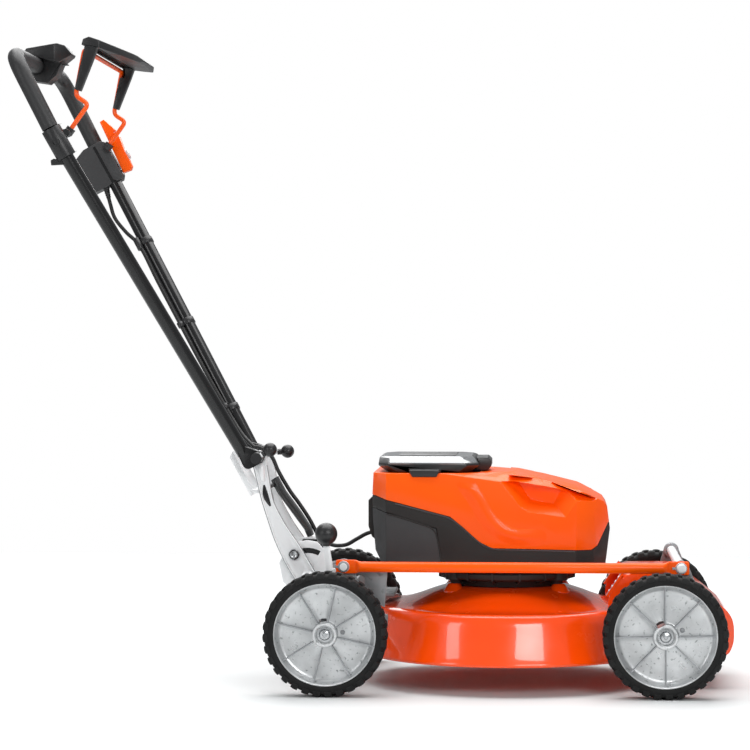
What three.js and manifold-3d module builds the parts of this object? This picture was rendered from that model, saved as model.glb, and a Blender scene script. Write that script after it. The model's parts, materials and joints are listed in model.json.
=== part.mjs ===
// Battery push lawn mower, millimetres, +Z up, +X forward, +Y to the mower's left.
// The parts are laid out about the blade axis (X = 0) and the ground (Z = 0);
// the whole mower is then moved so that the origin is the bottom centre of its box.
import * as THREE from 'three';
import { ConvexGeometry } from 'three/addons/geometries/ConvexGeometry.js';
import * as BufferGeometryUtils from 'three/addons/utils/BufferGeometryUtils.js';
import Module from 'manifold-3d';

const wasm = await Module();
wasm.setup();

// ---- driving dimensions -------------------------------------------------
const GAP = 0.4; // running or seating gap between touching parts

const WHEEL_R = 105; // tyre radius, flat to flat
const WHEEL_HALF = 25; // half the tyre width
const WHEEL_Y = 240; // wheel centre plane
const RIM_R = 88;
const AXLE_R = 8;
const FRONT_AXLE = [268, 105]; // X, Z
const REAR_AXLE = [-302, 105];
const CRANK_PIVOT = [63, 19]; // crank pivot from its axle, X and Z
const CRANK_PIN = [28, 110]; // rod pin from its axle
const ARM_Y = 189; // inner face of the height cranks
const ARM_THICK = 5;
const PIN_R = 8;
const ROD_R = 9;
const ROD_Y = -204;

const DECK_RIM_R = 255;
const DECK_RIM_Z = 53;
const DECK_TOP_Z = 170;
const DECK_SKIN = 3;

const FLANGE_R = 122;
const FLOOR_Z = 211; // underside of the motor housing
const COVER_HALF = 135; // half width of the motor housing
const SKIN = 3; // wall of the plastic housings
const LID_X = [-222, -48];
const LID_Z = [371, 397];
const LID_HALF = 112;

const BLADE_TIP_R = 230;
const BLADE_Z = 62;
const SPINDLE_R = 10;

const TILT_PIVOT = [-348, 186]; // handle angle pivot on the chassis brackets
const LOCK_SLOT_R = 44; // radius of the locking slot about that pivot
const LOCK_BOLT = [-371, 223.5];
const FOLD_PIVOT = [-432, 394]; // fold shaft at the tops of the handle arms
const TUBE_R = 12;
const TUBE_LOW = [-457, 76, 400]; // left tube, lower end of its axis
const TUBE_HIGH = [-742, 230, 910]; // left tube, upper end of its axis
const GRIP_R = 14.2;
const GRIP_LOW = [-768.5, 235.2, 958]; // left grip, lower end
const BAR_CORNER = [-832, 238, 1083]; // where grip and cross bar would meet
const BAIL_Y = 207;
const BAIL_R = 4;
const BAIL_PIVOT = [-743, 950];

const ORIGIN_X = -230; // middle of the overall length, from the blade axis

// ---- materials ----------------------------------------------------------
const paint = (color, roughness, metalness = 0) => () =>
  new THREE.MeshStandardMaterial({ color, roughness, metalness });
const coverOrange = paint(0xff5505, 0.35);
const deckOrange = paint(0xe8420f, 0.25);
const charcoal = paint(0x2d2b2b, 0.5);
const darkGrey = paint(0x4b4b4b, 0.5);
const blackPlastic = paint(0x222222, 0.55);
const tubeBlack = paint(0x1e1e1e, 0.35, 0.3);
const silver = paint(0xc9cbcc, 0.35, 0.8);
const castGrey = paint(0x85878a, 0.55, 0.6);
const wheelSilver = paint(0xbdbfc0, 0.5, 0.6);
const tyreBlack = paint(0x1f1f1f, 0.85);
const steel = paint(0xa8abae, 0.3, 0.9);
const copper = paint(0x8a5a3a, 0.5, 0.7);

// ---- geometry helpers ---------------------------------------------------
// Merges a closed geometry's shared corners and turns it into a solid.
function solid(geometry) {
  const bare = geometry.index ? geometry.toNonIndexed() : geometry.clone();
  bare.deleteAttribute('normal');
  bare.deleteAttribute('uv');
  const merged = BufferGeometryUtils.mergeVertices(bare, 1e-4);
  const position = merged.attributes.position;
  const index = Array.from(merged.index.array);
  if (signedVolume(position, index) < 0) {
    for (let i = 0; i < index.length; i += 3) {
      [index[i + 1], index[i + 2]] = [index[i + 2], index[i + 1]];
    }
  }
  return new wasm.Manifold(new wasm.Mesh({
    numProp: 3,
    vertProperties: new Float32Array(position.array),
    triVerts: new Uint32Array(index),
  }));
}

function signedVolume(position, index) {
  const [a, b, c] = [new THREE.Vector3(), new THREE.Vector3(), new THREE.Vector3()];
  let volume = 0;
  for (let i = 0; i < index.length; i += 3) {
    a.fromBufferAttribute(position, index[i]);
    b.fromBufferAttribute(position, index[i + 1]);
    c.fromBufferAttribute(position, index[i + 2]);
    volume += a.dot(b.cross(c)) / 6;
  }
  return volume;
}

function geometryOf(body) {
  const mesh = body.getMesh();
  const geometry = new THREE.BufferGeometry();
  geometry.setAttribute('position', new THREE.BufferAttribute(mesh.vertProperties, 3));
  geometry.setIndex(new THREE.BufferAttribute(mesh.triVerts, 1));
  geometry.computeVertexNormals();
  return geometry;
}

const join = (first, ...rest) => rest.reduce((sum, body) => sum.add(body), first);
const cut = (first, ...rest) => rest.reduce((sum, body) => sum.subtract(body), first);

// A box from its lowest to its highest corner.
function block(low, high) {
  const size = low.map((value, i) => high[i] - value);
  const geometry = new THREE.BoxGeometry(...size);
  geometry.translate(...low.map((value, i) => (value + high[i]) / 2));
  return solid(geometry);
}

// A cylinder from one point to another.
function rod(from, to, radius, sides = 20) {
  const start = new THREE.Vector3(...from);
  const along = new THREE.Vector3(...to).sub(start);
  const geometry = new THREE.CylinderGeometry(radius, radius, along.length(), sides);
  geometry.translate(0, along.length() / 2, 0);
  const turn = new THREE.Quaternion().setFromUnitVectors(
    new THREE.Vector3(0, 1, 0), along.clone().normalize());
  geometry.applyQuaternion(turn);
  geometry.translate(...from);
  return solid(geometry);
}

// A ring or disc about the vertical axis, from its (radius, z) outline.
function turned(outline, sides = 40) {
  const onAxis = outline[0][0] === 0;
  const profile = outline.map(([r, z]) => new THREE.Vector2(r, z));
  if (!onAxis) profile.push(profile[0].clone());
  const geometry = new THREE.LatheGeometry(profile, sides);
  geometry.rotateX(Math.PI / 2);
  return solid(geometry);
}

const circlePoints = ([x, z], radius, count = 16) => Array.from({ length: count }, (_, i) => {
  const angle = (i / count) * 2 * Math.PI;
  return [x + radius * Math.cos(angle), z + radius * Math.sin(angle)];
});

function pathOf(points) {
  return points.map(([u, v]) => new THREE.Vector2(u, v));
}

// A plate whose outline lies in X and Z, between two values of Y.
function plate(outline, y0, y1, holes = []) {
  const shape = new THREE.Shape(pathOf(outline));
  shape.holes = holes.map((hole) => new THREE.Path(pathOf(hole)));
  const geometry = new THREE.ExtrudeGeometry(shape, { depth: y1 - y0, bevelEnabled: false });
  geometry.rotateX(Math.PI / 2);
  geometry.translate(0, y1, 0);
  return solid(geometry);
}

// A slab whose outline lies in X and Y, between two heights.
function slab(outline, z0, z1, holes = []) {
  const shape = new THREE.Shape(pathOf(outline));
  shape.holes = holes.map((hole) => new THREE.Path(pathOf(hole)));
  const geometry = new THREE.ExtrudeGeometry(shape, { depth: z1 - z0, bevelEnabled: false });
  geometry.translate(0, 0, z0);
  return solid(geometry);
}

// The convex solid through a set of points.
const hull = (points) => solid(new ConvexGeometry(points.map((p) => new THREE.Vector3(...p))));

// The outline wrapped round a set of circles, each [x, z, radius].
function wrapped(circles) {
  const points = circles
    .flatMap(([x, z, radius]) => circlePoints([x, z], radius, 16))
    .sort((p, q) => p[0] - q[0] || p[1] - q[1]);
  const turn = (o, a, b) => (a[0] - o[0]) * (b[1] - o[1]) - (a[1] - o[1]) * (b[0] - o[0]);
  const half = (list) => {
    const chain = [];
    for (const point of list) {
      while (chain.length > 1 && turn(chain.at(-2), chain.at(-1), point) <= 1e-9) chain.pop();
      chain.push(point);
    }
    return chain.slice(0, -1);
  };
  return [...half(points), ...half(points.toReversed())];
}

// A round bar swept along a curve.
function swept(curve, radius, steps, sides = 12) {
  const section = new THREE.Shape(pathOf(circlePoints([0, 0], radius, sides)));
  return solid(new THREE.ExtrudeGeometry(section, { steps, extrudePath: curve }));
}

// Straight runs joined by round corners, through the given points.
function filleted(points, radius) {
  const curve = new THREE.CurvePath();
  const corners = points.map((point) => new THREE.Vector3(...point));
  let start = corners[0];
  for (let i = 1; i < corners.length - 1; i += 1) {
    const towards = (to) => to.clone().sub(corners[i]).normalize().multiplyScalar(radius);
    const enter = corners[i].clone().add(towards(corners[i - 1]));
    const leave = corners[i].clone().add(towards(corners[i + 1]));
    curve.add(new THREE.LineCurve3(start, enter));
    curve.add(new THREE.QuadraticBezierCurve3(enter, corners[i], leave));
    start = leave;
  }
  curve.add(new THREE.LineCurve3(start, corners.at(-1)));
  return curve;
}

const mirrorY = (body) => body.mirror([0, 1, 0]);
const sideOf = (body, side) => (side === 'right' ? mirrorY(body) : body);
const offset = ([x, z], [dx, dz]) => [x + dx, z + dz];
const across = ([x, z], y) => [x, y, z];

// ---- assembly -----------------------------------------------------------
const mower = new THREE.Group();
mower.position.set(-ORIGIN_X, 0, 0);

function add(name, body, material, place = [0, 0, 0]) {
  const mesh = new THREE.Mesh(geometryOf(body), material());
  mesh.name = name;
  mesh.position.set(...place);
  mower.add(mesh);
  return mesh;
}

// ---- wheels -------------------------------------------------------------
function tyre() {
  const sides = 48;
  const tread = WHEEL_R / Math.cos(Math.PI / sides); // corner radius of the faceted tread
  const bore = RIM_R + 0.6;
  const outline = [
    [bore, -22], [99, -WHEEL_HALF], [tread, -19], [tread, 19], [99, WHEEL_HALF], [bore, 22],
  ];
  const halfStep = (180 / sides); // rests on a flat of the tread
  return turned(outline, sides).rotate([0, 0, halfStep]).rotate([90, 0, 0]);
}

// The rim's outer side faces -Y; mirrored for the left wheels.
function rim() {
  const outline = [
    [AXLE_R + GAP, -20], [19, -20], [19, -1], [79, 3], [82, -20], [RIM_R, -20], [RIM_R, 21],
    [84, 21], [80, 9], [21, 6], [21, 23], [15, 23], [15, 12], [AXLE_R + GAP, 12],
  ];
  const wheel = turned(outline, 24);
  const ribs = Array.from({ length: 8 }, (_, i) =>
    block([18, -1.5, 4], [81.5, 1.5, 14]).rotate([0, 0, i * 45]));
  return join(wheel, ...ribs).rotate([90, 0, 0]);
}

function addWheels() {
  const ends = { front: FRONT_AXLE, rear: REAR_AXLE };
  for (const [end, [x, z]] of Object.entries(ends)) {
    for (const side of ['right', 'left']) {
      const y = side === 'right' ? -WHEEL_Y : WHEEL_Y;
      const facing = (body) => (side === 'right' ? body : mirrorY(body));
      add(`${end}_${side}_tyre`, facing(tyre()), tyreBlack, [x, y, z]);
      add(`${end}_${side}_rim`, facing(rim()), wheelSilver, [x, y, z]);
    }
  }
}

// A through axle with a nut at each end, sunk in the rims' hub cups.
function axle([x, z]) {
  const nut = (y0, y1) => rod([x, y0, z], [x, y1, z], 10, 6);
  return join(
    rod([x, -256, z], [x, 256, z], AXLE_R, 16),
    nut(-260.5, -252.5), nut(252.5, 260.5));
}

// ---- height adjustment --------------------------------------------------
// A crank plate joins its chassis pivot, the axle and (where there is one) the rod pin.
function crank(axleAt, hasPin, y0 = ARM_Y) {
  const pivot = offset(axleAt, CRANK_PIVOT);
  const pin = offset(axleAt, CRANK_PIN);
  const corners = [[...axleAt, 17], [...pivot, 15]];
  if (hasPin) corners.push([...pin, 13]);
  const holes = [circlePoints(axleAt, AXLE_R + GAP, 16), circlePoints(pivot, 7.4, 16)];
  if (hasPin) holes.push(circlePoints(pin, PIN_R + GAP, 16));
  return plate(wrapped(corners), y0, y0 + ARM_THICK, holes);
}

function addHeightAdjustment() {
  add('front_right_crank', mirrorY(crank(FRONT_AXLE, true)), castGrey);
  add('front_left_crank', crank(FRONT_AXLE, true), castGrey);
  const rearPin = offset(REAR_AXLE, CRANK_PIN);
  const fixedPin = rod(across(rearPin, ARM_Y), across(rearPin, 208), PIN_R + GAP, 16);
  add('rear_right_crank', mirrorY(join(crank(REAR_AXLE, true), fixedPin)), castGrey);
  add('rear_left_crank', crank(REAR_AXLE, false), castGrey);
  add('front_axle', axle(FRONT_AXLE), steel);
  add('rear_axle', axle(REAR_AXLE), steel);

  const frontPin = offset(FRONT_AXLE, CRANK_PIN);
  add('front_cross_shaft', rod(across(frontPin, -208), across(frontPin, 198), PIN_R), silver);
  add('link_rod', linkRod(rearPin, frontPin), coverOrange);
  addHeightLever();
}

// Round bar with a flattened eye at each end, on the outer faces of the right cranks.
function linkRod([rearX, z], [frontX]) {
  const eyeY = [-201, -(ARM_Y + ARM_THICK) - GAP];
  const hole = PIN_R + 2 * GAP;
  const eye = (x, inner) => plate(wrapped([
    [x - inner * 6, z + 2, 11], [x - inner * 6, z - 2, 11], [x + inner * 24, z, 11.5],
  ]), ...eyeY, [circlePoints([x, z], hole, 16)]);
  const neck = (x) => block([x - 9, ROD_Y - 6, z - 9], [x + 9, -195, z + 9]);
  return join(
    rod([rearX + 26, ROD_Y, z], [frontX - 26, ROD_Y, z], ROD_R, 16),
    neck(rearX + 27), neck(frontX - 27),
    eye(rearX, 1), eye(frontX, -1));
}

function addHeightLever() {
  const strip = plate([
    [-310, 254], [-299, 254], [-291, 206], [-294, 180], [-280, 152], [-262, 140],
    [-270, 128], [-292, 138], [-305, 172], [-304, 206],
  ], -198, -(ARM_Y + ARM_THICK) - GAP);
  add('height_lever', strip, silver);
  const knob = new THREE.SphereGeometry(19, 14, 8);
  knob.translate(-304, -196, 270);
  const stem = rod([-304, -196.2, 251], [-304, -196.2, 256.5], 7, 12);
  add('height_knob', cut(join(solid(knob), stem), block([-312, -198.6, 248], [-297, -193.9, 258])),
    blackPlastic);
}

// ---- deck and its frames ------------------------------------------------
function deckOutline(shrink) {
  return [
    [DECK_RIM_R - shrink, DECK_RIM_Z], [233 - shrink, 126],
    [229 - shrink, 133 - shrink * 0.6], [222 - shrink * 0.4, 136 - shrink],
    [189, 140 - shrink], [150, 153 - shrink], [101, DECK_TOP_Z - shrink],
  ];
}

function deck() {
  const hole = 18;
  return turned([
    ...deckOutline(0), [hole, DECK_TOP_Z], [hole, DECK_TOP_Z - DECK_SKIN],
    ...deckOutline(DECK_SKIN).reverse(),
  ], 40);
}

// Everything inside the deck's outer surface, with the seating gap.
function deckEnvelope() {
  return turned([[0, DECK_RIM_Z - 10], [DECK_RIM_R + 1, DECK_RIM_Z - 10],
    ...deckOutline(-1), [0, DECK_TOP_Z + 1]], 40);
}

// Open-bottomed housing over the front axle, with a long boss for each front crank.
function frontHousing() {
  const side = [[175, 62], [175, 158], [203, 199], [292, 200], [329, 175.5], [357, 154],
    [377, 137], [387, 123.5], [390, 108], [390, 84], [385, 68], [377, 57], [362, 57]];
  const inside = [[160, 40], [160, 152], [204.5, 196], [291, 197], [327.2, 172.4], [355, 151.4],
    [374.6, 134.7], [384.2, 122], [387, 107.5], [387, 84.6], [382.3, 69.4], [374, 58], [362, 40]];
  const half = 122;
  const shell = cut(plate(side, -half, half), plate(inside, -half + SKIN, half - SKIN));
  const pivot = offset(FRONT_AXLE, CRANK_PIVOT);
  const boss = join(rod(across(pivot, half - 1), across(pivot, ARM_Y - 1), 14),
    rod(across(pivot, half - 1), across(pivot, ARM_Y + 6), 7, 16));
  const slot = block([250, half - 8, 40], [286, half + 8, 152]);
  return cut(join(shell, boss, mirrorY(boss)), slot, mirrorY(slot), deckEnvelope());
}

// Cross beam behind the deck with a side plate at each end carrying the rear crank pivots.
function rearFrame() {
  const pivot = offset(REAR_AXLE, CRANK_PIVOT);
  const outline = [[-288, 150], [-288, 178], [-268, 178], [-258, 150], [-222, 138], [-200, 132],
    [-200, 112], [-226, 104], [-252, 104], [-284, 140]];
  const cheek = join(plate(outline, 176, 182), rod(across(pivot, 181), across(pivot, 188), 14),
    rod(across(pivot, 181), across(pivot, 195), 7, 16));
  const beam = block([-288, -178, 150], [-262, 178, 178]);
  const foot = block([-264, -60, 150], [-196, 60, 156]);
  return join(beam, foot, cheek, mirrorY(cheek));
}

// Notched sector for the height lever, on the right cheek.
function leverSector() {
  const pivot = offset(REAR_AXLE, CRANK_PIVOT);
  const arc = Array.from({ length: 9 }, (_, i) => {
    const angle = THREE.MathUtils.degToRad(66 + i * 6.5);
    return [pivot[0] + 96 * Math.cos(angle), pivot[1] + 96 * Math.sin(angle)];
  });
  const outline = [...arc, [-284, 181], [-205, 145]];
  return plate(outline, 182.4, 187.6, [circlePoints([-247, 190], 9, 14)]);
}

// Bracket with a round head and a curved slot in which the handle's lock bolt moves.
function handleBracket() {
  const outline = [[-316, 196], [-316, 214], [-320, 233], [-331, 245], [-348, 248], [-370, 244],
    [-388, 230], [-398, 208], [-392, 176], [-372, 154], [-330, 150], [-288.6, 150],
    [-288.6, 178], [-304, 178]];
  const bend = (radius, from, to) => Array.from({ length: 9 }, (_, i) => {
    const angle = THREE.MathUtils.degToRad(from + (i * (to - from)) / 8);
    return [TILT_PIVOT[0] + radius * Math.cos(angle), TILT_PIVOT[1] + radius * Math.sin(angle)];
  });
  const slot = [...bend(LOCK_SLOT_R + 4.6, 62, 128), ...bend(LOCK_SLOT_R - 4.6, 128, 62)];
  return plate(outline, 49, 54, [circlePoints(TILT_PIVOT, 6.4, 14), slot]);
}

// ---- motor and blade ----------------------------------------------------
function motorFlange() {
  return turned([
    [22, DECK_TOP_Z + 0.5], [60, DECK_TOP_Z + 0.5], [64, 181], [118, 182], [FLANGE_R, 184],
    [FLANGE_R, 195], [118, 196.5], [100, 197], [97, FLOOR_Z - 0.5], [66, FLOOR_Z - 0.5],
    [66, 215], [22, 215],
  ], 28);
}

function addMotor() {
  add('motor_flange', motorFlange(), charcoal);
  add('spindle_bearing', turned([[10.4, 180], [21.6, 180], [21.6, 196], [10.4, 196]], 24), steel);
  add('motor_stator', turned([[13, 215.4], [53, 215.4], [53, 243], [13, 243]], 24), copper);
  add('motor_rotor', turned([[10.4, 246], [57, 246], [57, 218], [62, 218], [62, 252],
    [10.4, 252]], 28), steel);
  add('spindle', turned([[0, 73], [SPINDLE_R, 73], [SPINDLE_R, 258], [0, 258]], 20), steel);
  add('blade_adapter', turned([[10.4, 70.4], [5.6, 70.4], [5.6, 66.4], [34, 66.4], [34, 72],
    [18, 78], [18, 96], [10.4, 96]], 24), castGrey);
  add('blade', blade(), steel);
  add('blade_bolt', turned([[0, 54.5], [13, 54.5], [13, 61.6], [5, 61.6], [5, 72.6], [0, 72.6]],
    20), steel);
}

// Straight mulching blade with swept ends and a turned-up lift at each tip.
function blade() {
  const half = 26;
  const outline = [[-BLADE_TIP_R, -half], [BLADE_TIP_R - 12, -half], [BLADE_TIP_R, 6],
    [BLADE_TIP_R, half], [-(BLADE_TIP_R - 12), half], [-BLADE_TIP_R, -6]];
  const flat = slab(outline, BLADE_Z, BLADE_Z + 4, [circlePoints([0, 0], 5.4, 12)]);
  const lift = slab([[150, half - 4], [BLADE_TIP_R - 1, half - 4], [BLADE_TIP_R - 1, half],
    [150, half]], BLADE_Z + 2, BLADE_Z + 20);
  return join(flat, lift, lift.rotate([0, 0, 180])).rotate([0, 0, 32]);
}

// ---- motor housing ------------------------------------------------------
// The housing's outer form, drawn in from its surface by an inset.
function housingForm(inset) {
  const t = inset;
  const half = COVER_HALF - t;
  const side = [[-212 + t, FLOOR_Z + t], [-226 + t, 236], [-231 + t, 290], [-232 + t, 334],
    [-230 + t, 369.6 - t], [-24, 369.6 - t], [20, 367 - t], [67, 358 - t], [124, 343 - t],
    [168 - t, 321 - t], [174 - t, 312 - t], [179 - t, 273], [171 - t, FLOOR_Z + t]];
  const plan = [[-232 + t, -92 + t], [-206 + t / 2, -half], [120, -half], [150 - t / 2, -118 + t],
    [180 - t, -72 + t], [180 - t, 72 - t], [150 - t / 2, 118 - t], [120, half],
    [-206 + t / 2, half], [-232 + t, 92 - t]];
  const body = plate(side, -half, half).intersect(slab(plan, 200, 400));
  // The top corner is planed off along both sides, level at the rear and sloping at the nose.
  const planed = (from, to, drop, width) => {
    const wedge = new THREE.Shape(pathOf([[half - width, 0], [half + 30, 0],
      [half + 30, -drop * (1 + 30 / width)]]));
    const length = 700;
    const geometry = new THREE.ExtrudeGeometry(wedge, { depth: length, bevelEnabled: false });
    geometry.translate(0, 0, -length / 2);
    geometry.applyMatrix4(new THREE.Matrix4().makeBasis(
      new THREE.Vector3(0, 1, 0), new THREE.Vector3(0, 0, 1), new THREE.Vector3(1, 0, 0)));
    geometry.rotateY(-Math.atan2(to[1] - from[1], to[0] - from[0]));
    geometry.translate(from[0], 0, from[1] - t + 0.01);
    return solid(geometry);
  };
  const nose = planed([67, 359], [168, 323], 16, 30);
  const middle = planed([-24, 372], [67, 359], 14, 30);
  return cut(body, nose, mirrorY(nose), middle, mirrorY(middle));
}

// The line along which the orange cover meets the charcoal base, dropped by an amount.
const seam = (drop) => [[-260, 336 - drop], [-225, 330 - drop], [-190, 320 - drop],
  [-96, 296 - drop], [-75, 279 - drop], [-46, 253 - drop], [-24, 242 - drop], [146, 239 - drop],
  [157, 246 - drop], [176, 284 - drop], [200, 300 - drop]];
const aboveSeam = (drop) => plate([...seam(drop), [200, 420], [-260, 420]], -160, 160);
const belowSeam = (drop) => plate([...seam(drop), [200, 180], [-260, 180]], -160, 160);

// The space of the left lifting pocket, whose walls slope in to a smaller inner face.
function pocketRoom(grow) {
  const mouth = [[-11, 357], [7, 337], [23, 314], [37, 304], [103, 295], [127, 330], [94, 344],
    [14, 357]];
  const floor = [[20, 356], [42, 324], [81, 317], [94, 342]];
  const middle = [58, 330];
  const grown = ([x, z], y) => {
    const [dx, dz] = [x - middle[0], z - middle[1]];
    const reach = 1 + grow / Math.hypot(dx, dz);
    return [middle[0] + dx * reach, y, middle[1] + dz * reach];
  };
  const mouthY = COVER_HALF + 1 + grow;
  const floorY = COVER_HALF - 32 - grow;
  return hull([...mouth.map((p) => grown(p, mouthY)), ...floor.map((p) => grown(p, floorY))]);
}

function motorCover() {
  const shell = cut(housingForm(0), housingForm(SKIN));
  const bay = block([-206, -76, 340], [-46, 76, 400]);
  const pocket = pocketRoom(0);
  const lining = pocketRoom(SKIN).intersect(housingForm(0));
  const lined = join(shell, lining, mirrorY(lining));
  return cut(lined, pocket, mirrorY(pocket), bay).intersect(aboveSeam(0));
}

function housingBase() {
  const shell = cut(housingForm(0), housingForm(SKIN));
  const rearSkin = plate([[-260, 200], [-108, 200], [-119, 297 - 22], [-190, 320 - 22],
    [-225, 330 - 22], [-260, 336 - 22]], -160, 160);
  const floor = housingForm(SKIN + 0.5).intersect(block([-250, -160, 200], [200, 160, FLOOR_Z + 8]));
  const walls = cut(shell, rearSkin);
  const motorHole = rod([0, 0, 200], [0, 0, 230], 66.6, 36);
  const joined = join(walls, housingForm(0).intersect(
    block([-109, -160, 200], [200, 160, FLOOR_Z + 4])), floor);
  return cut(joined.intersect(belowSeam(GAP)), motorHole);
}

function housingRearPanel() {
  const shell = cut(housingForm(0), housingForm(SKIN));
  const region = plate([[-260, 200], [-108.6, 200], [-119.6, 296.6 - 22], [-190, 319.4 - 22],
    [-225, 329.4 - 22], [-260, 335.4 - 22]], -160, 160);
  return cut(shell.intersect(region), block([-250, -160, 200], [-90, 160, FLOOR_Z + SKIN + 0.4]));
}

// Lid with sloping sides, a finger tab on each side and a hinge block at the front.
function batteryLid() {
  const [x0, x1] = LID_X;
  const [z0, z1] = LID_Z;
  const level = (z, rear, front, inset) => {
    const half = LID_HALF - inset;
    const corners = [[x0 + rear, half - 30], [x0 + rear + 18, half], [x1 - front - 20, half],
      [x1 - front, half - 26]];
    return corners.flatMap(([x, y]) => [[x, y, z], [x, -y, z]]);
  };
  const shell = hull([...level(z0, 15, 14, 0), ...level(z0 + 10, 0, 0, 0), ...level(z0 + 14, 0, 0, 0),
    ...level(z1 - 2, 1, 6, 16), ...level(z1, 6, 12, 22)]);
  const hollow = block([x0 + 22, -90, z0 - 1], [x1 - 22, 90, z1 - 6]);
  const hinge = plate([[-70, z0], [-34, z0], [-27, 378], [-27, 388], [-33, 394], [-70, 394]], -52, 52);
  const tab = plate([[-166, z0 + 3], [-114, z0 + 3], [-119, z0 - 7], [-161, z0 - 7]],
    COVER_HALF + GAP, COVER_HALF + 3);
  const web = block([-166, LID_HALF - 6, z0 + 1], [-114, COVER_HALF + 3, z0 + 5]);
  return join(cut(join(shell, hinge), hollow), tab, web, mirrorY(join(tab, web)));
}

function addHousing() {
  add('housing_base', housingBase(), charcoal);
  add('housing_rear_panel', housingRearPanel(), darkGrey);
  add('motor_cover', motorCover(), coverOrange);
  add('battery_lid', batteryLid(), blackPlastic);
  const well = block([-199, -69, 272], [-53, 69, 370]);
  const cradle = cut(block([-203, -73, 268], [-49, 73, 362]), well);
  add('battery_cradle', cradle, charcoal);
  const grip = block([-160, -20, 351], [-92, 20, 364]);
  const pack = join(block([-197, -67, 273], [-55, 67, 352]), grip);
  add('battery_pack', pack, blackPlastic);
  const board = block([-30, -56, 264], [110, 56, 270]);
  const fin = (y) => block([-26, y, 269], [106, y + 4, 284]);
  const fins = Array.from({ length: 7 }, (_, i) => fin(-50 + i * 16));
  add('motor_controller', join(board, ...fins), castGrey);
}

// ---- handle -------------------------------------------------------------
// Pressed arm: a round neck at the fold shaft that widens into a flat plate.
function handleArm() {
  const outline = [[-443, 400], [-432, 406], [-421, 400], [-419, 380], [-410, 327], [-403, 306],
    [-389, 280], [-379, 264], [-361, 238], [-334, 192], [-332, 180], [-340, 171], [-356, 171],
    [-368, 178], [-387, 210], [-405, 249], [-417, 284], [-428, 319], [-436, 352], [-444, 384]];
  const lockHole = circlePoints(LOCK_BOLT, 4.4, 12);
  return plate(outline, 56, 61, [
    circlePoints(FOLD_PIVOT, 6.4, 14), circlePoints(TILT_PIVOT, 6.4, 14), lockHole]);
}

function addHandleBase() {
  for (const side of ['right', 'left']) {
    add(`handle_bracket_${side}`, sideOf(handleBracket(), side), silver);
    add(`handle_arm_${side}`, sideOf(handleArm(), side), silver);
  }
  add('tilt_pivot_shaft', rod(across(TILT_PIVOT, -66), across(TILT_PIVOT, 66), 6, 14), steel);
  const boltHead = (y0, y1) => rod(across(LOCK_BOLT, y0), across(LOCK_BOLT, y1), 10, 16);
  const shank = rod(across(LOCK_BOLT, -62), across(LOCK_BOLT, 62), 4, 12);
  add('angle_lock_bolt', join(shank, boltHead(-66, -61.4), boltHead(61.4, 66)), steel);
  add('fold_shaft', rod(across(FOLD_PIVOT, -94), across(FOLD_PIVOT, 94), 6, 14), steel);
  const back = plate([[-485, 392], [-480, 403], [-442, 333], [-448, 325]], -55, 55);
  const strut = block([-446, -55.6, 330], [-428, 55.6, 336]);
  add('handle_back_plate', join(back, strut), silver);
  const guard = plate([[-417, 350], [-408, 356], [-394, 330], [-366, 292], [-348, 264],
    [-344, 252], [-352, 250], [-358, 264], [-377, 290], [-404, 326]], -12, 34);
  const stay = rod([-413, -55.6, 342], [-413, 55.6, 342], 3.5, 10);
  add('cable_guard', join(guard, stay), blackPlastic);
}

// Straight tube with a block at its foot that turns on the fold shaft.
function handleTube() {
  const foot = plate(wrapped([[...FOLD_PIVOT, 11], [-458, 404, 10], [-449, 384, 10]]), 64, 88);
  const tube = rod(TUBE_LOW, TUBE_HIGH, TUBE_R, 18);
  const bore = rod(across(FOLD_PIVOT, 50), across(FOLD_PIVOT, 100), 6.4, 14);
  const flat = block([-520, 40, 360], [-400, 64, 470]);
  return cut(join(tube, foot), bore, flat);
}

const lerp = (p, q, t) => p.map((value, i) => value + (q[i] - value) * t);
const mirrored = ([x, y, z]) => [x, -y, z];

function gripBar() {
  const route = [mirrored(GRIP_LOW), mirrored(BAR_CORNER), BAR_CORNER, GRIP_LOW];
  return swept(filleted(route, 42), GRIP_R, 34, 12);
}

// Unit vectors along the left tube and square to it, forwards.
const tubeAxis = new THREE.Vector3(...GRIP_LOW).sub(new THREE.Vector3(...TUBE_HIGH)).normalize();
const seen = Math.hypot(tubeAxis.x, tubeAxis.z);
const alongTube = [tubeAxis.x / seen, tubeAxis.z / seen];
const aheadOfTube = [alongTube[1], -alongTube[0]];
const fromTube = (u, n) => [TUBE_HIGH[0] + alongTube[0] * u + aheadOfTube[0] * n,
  TUBE_HIGH[2] + alongTube[1] * u + aheadOfTube[1] * n];

function couplingSleeve() {
  const low = mirrored(lerp(TUBE_HIGH, GRIP_LOW, -0.02));
  const high = mirrored(lerp(TUBE_HIGH, GRIP_LOW, 0.98));
  const ear = hull([...circlePoints(BAIL_PIVOT, 7, 12), ...circlePoints([-764, 945], 9, 12)]
    .flatMap((point) => [across(point, -230), across(point, -212)]));
  return cut(join(rod(low, high, 17, 20), ear), ...jointRooms().map(mirrorY));
}

// The spaces that the tube's top and the grip's foot take in whatever joins them.
function jointRooms() {
  return [
    rod(lerp(TUBE_HIGH, TUBE_LOW, 0.2), lerp(TUBE_HIGH, TUBE_LOW, -0.001), TUBE_R + GAP, 18),
    rod(lerp(GRIP_LOW, BAR_CORNER, -0.006), lerp(GRIP_LOW, BAR_CORNER, 0.4), GRIP_R + 1, 18),
  ];
}

// Box of the start switch, carried on the left tube between tube and grip.
function switchBox() {
  const box = plate([fromTube(-24, -46), fromTube(46, -46), fromTube(56, -22), fromTube(56, 12),
    fromTube(50, 20), fromTube(-18, 20), fromTube(-26, 14)], 212, 254);
  return cut(box, ...jointRooms());
}

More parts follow.
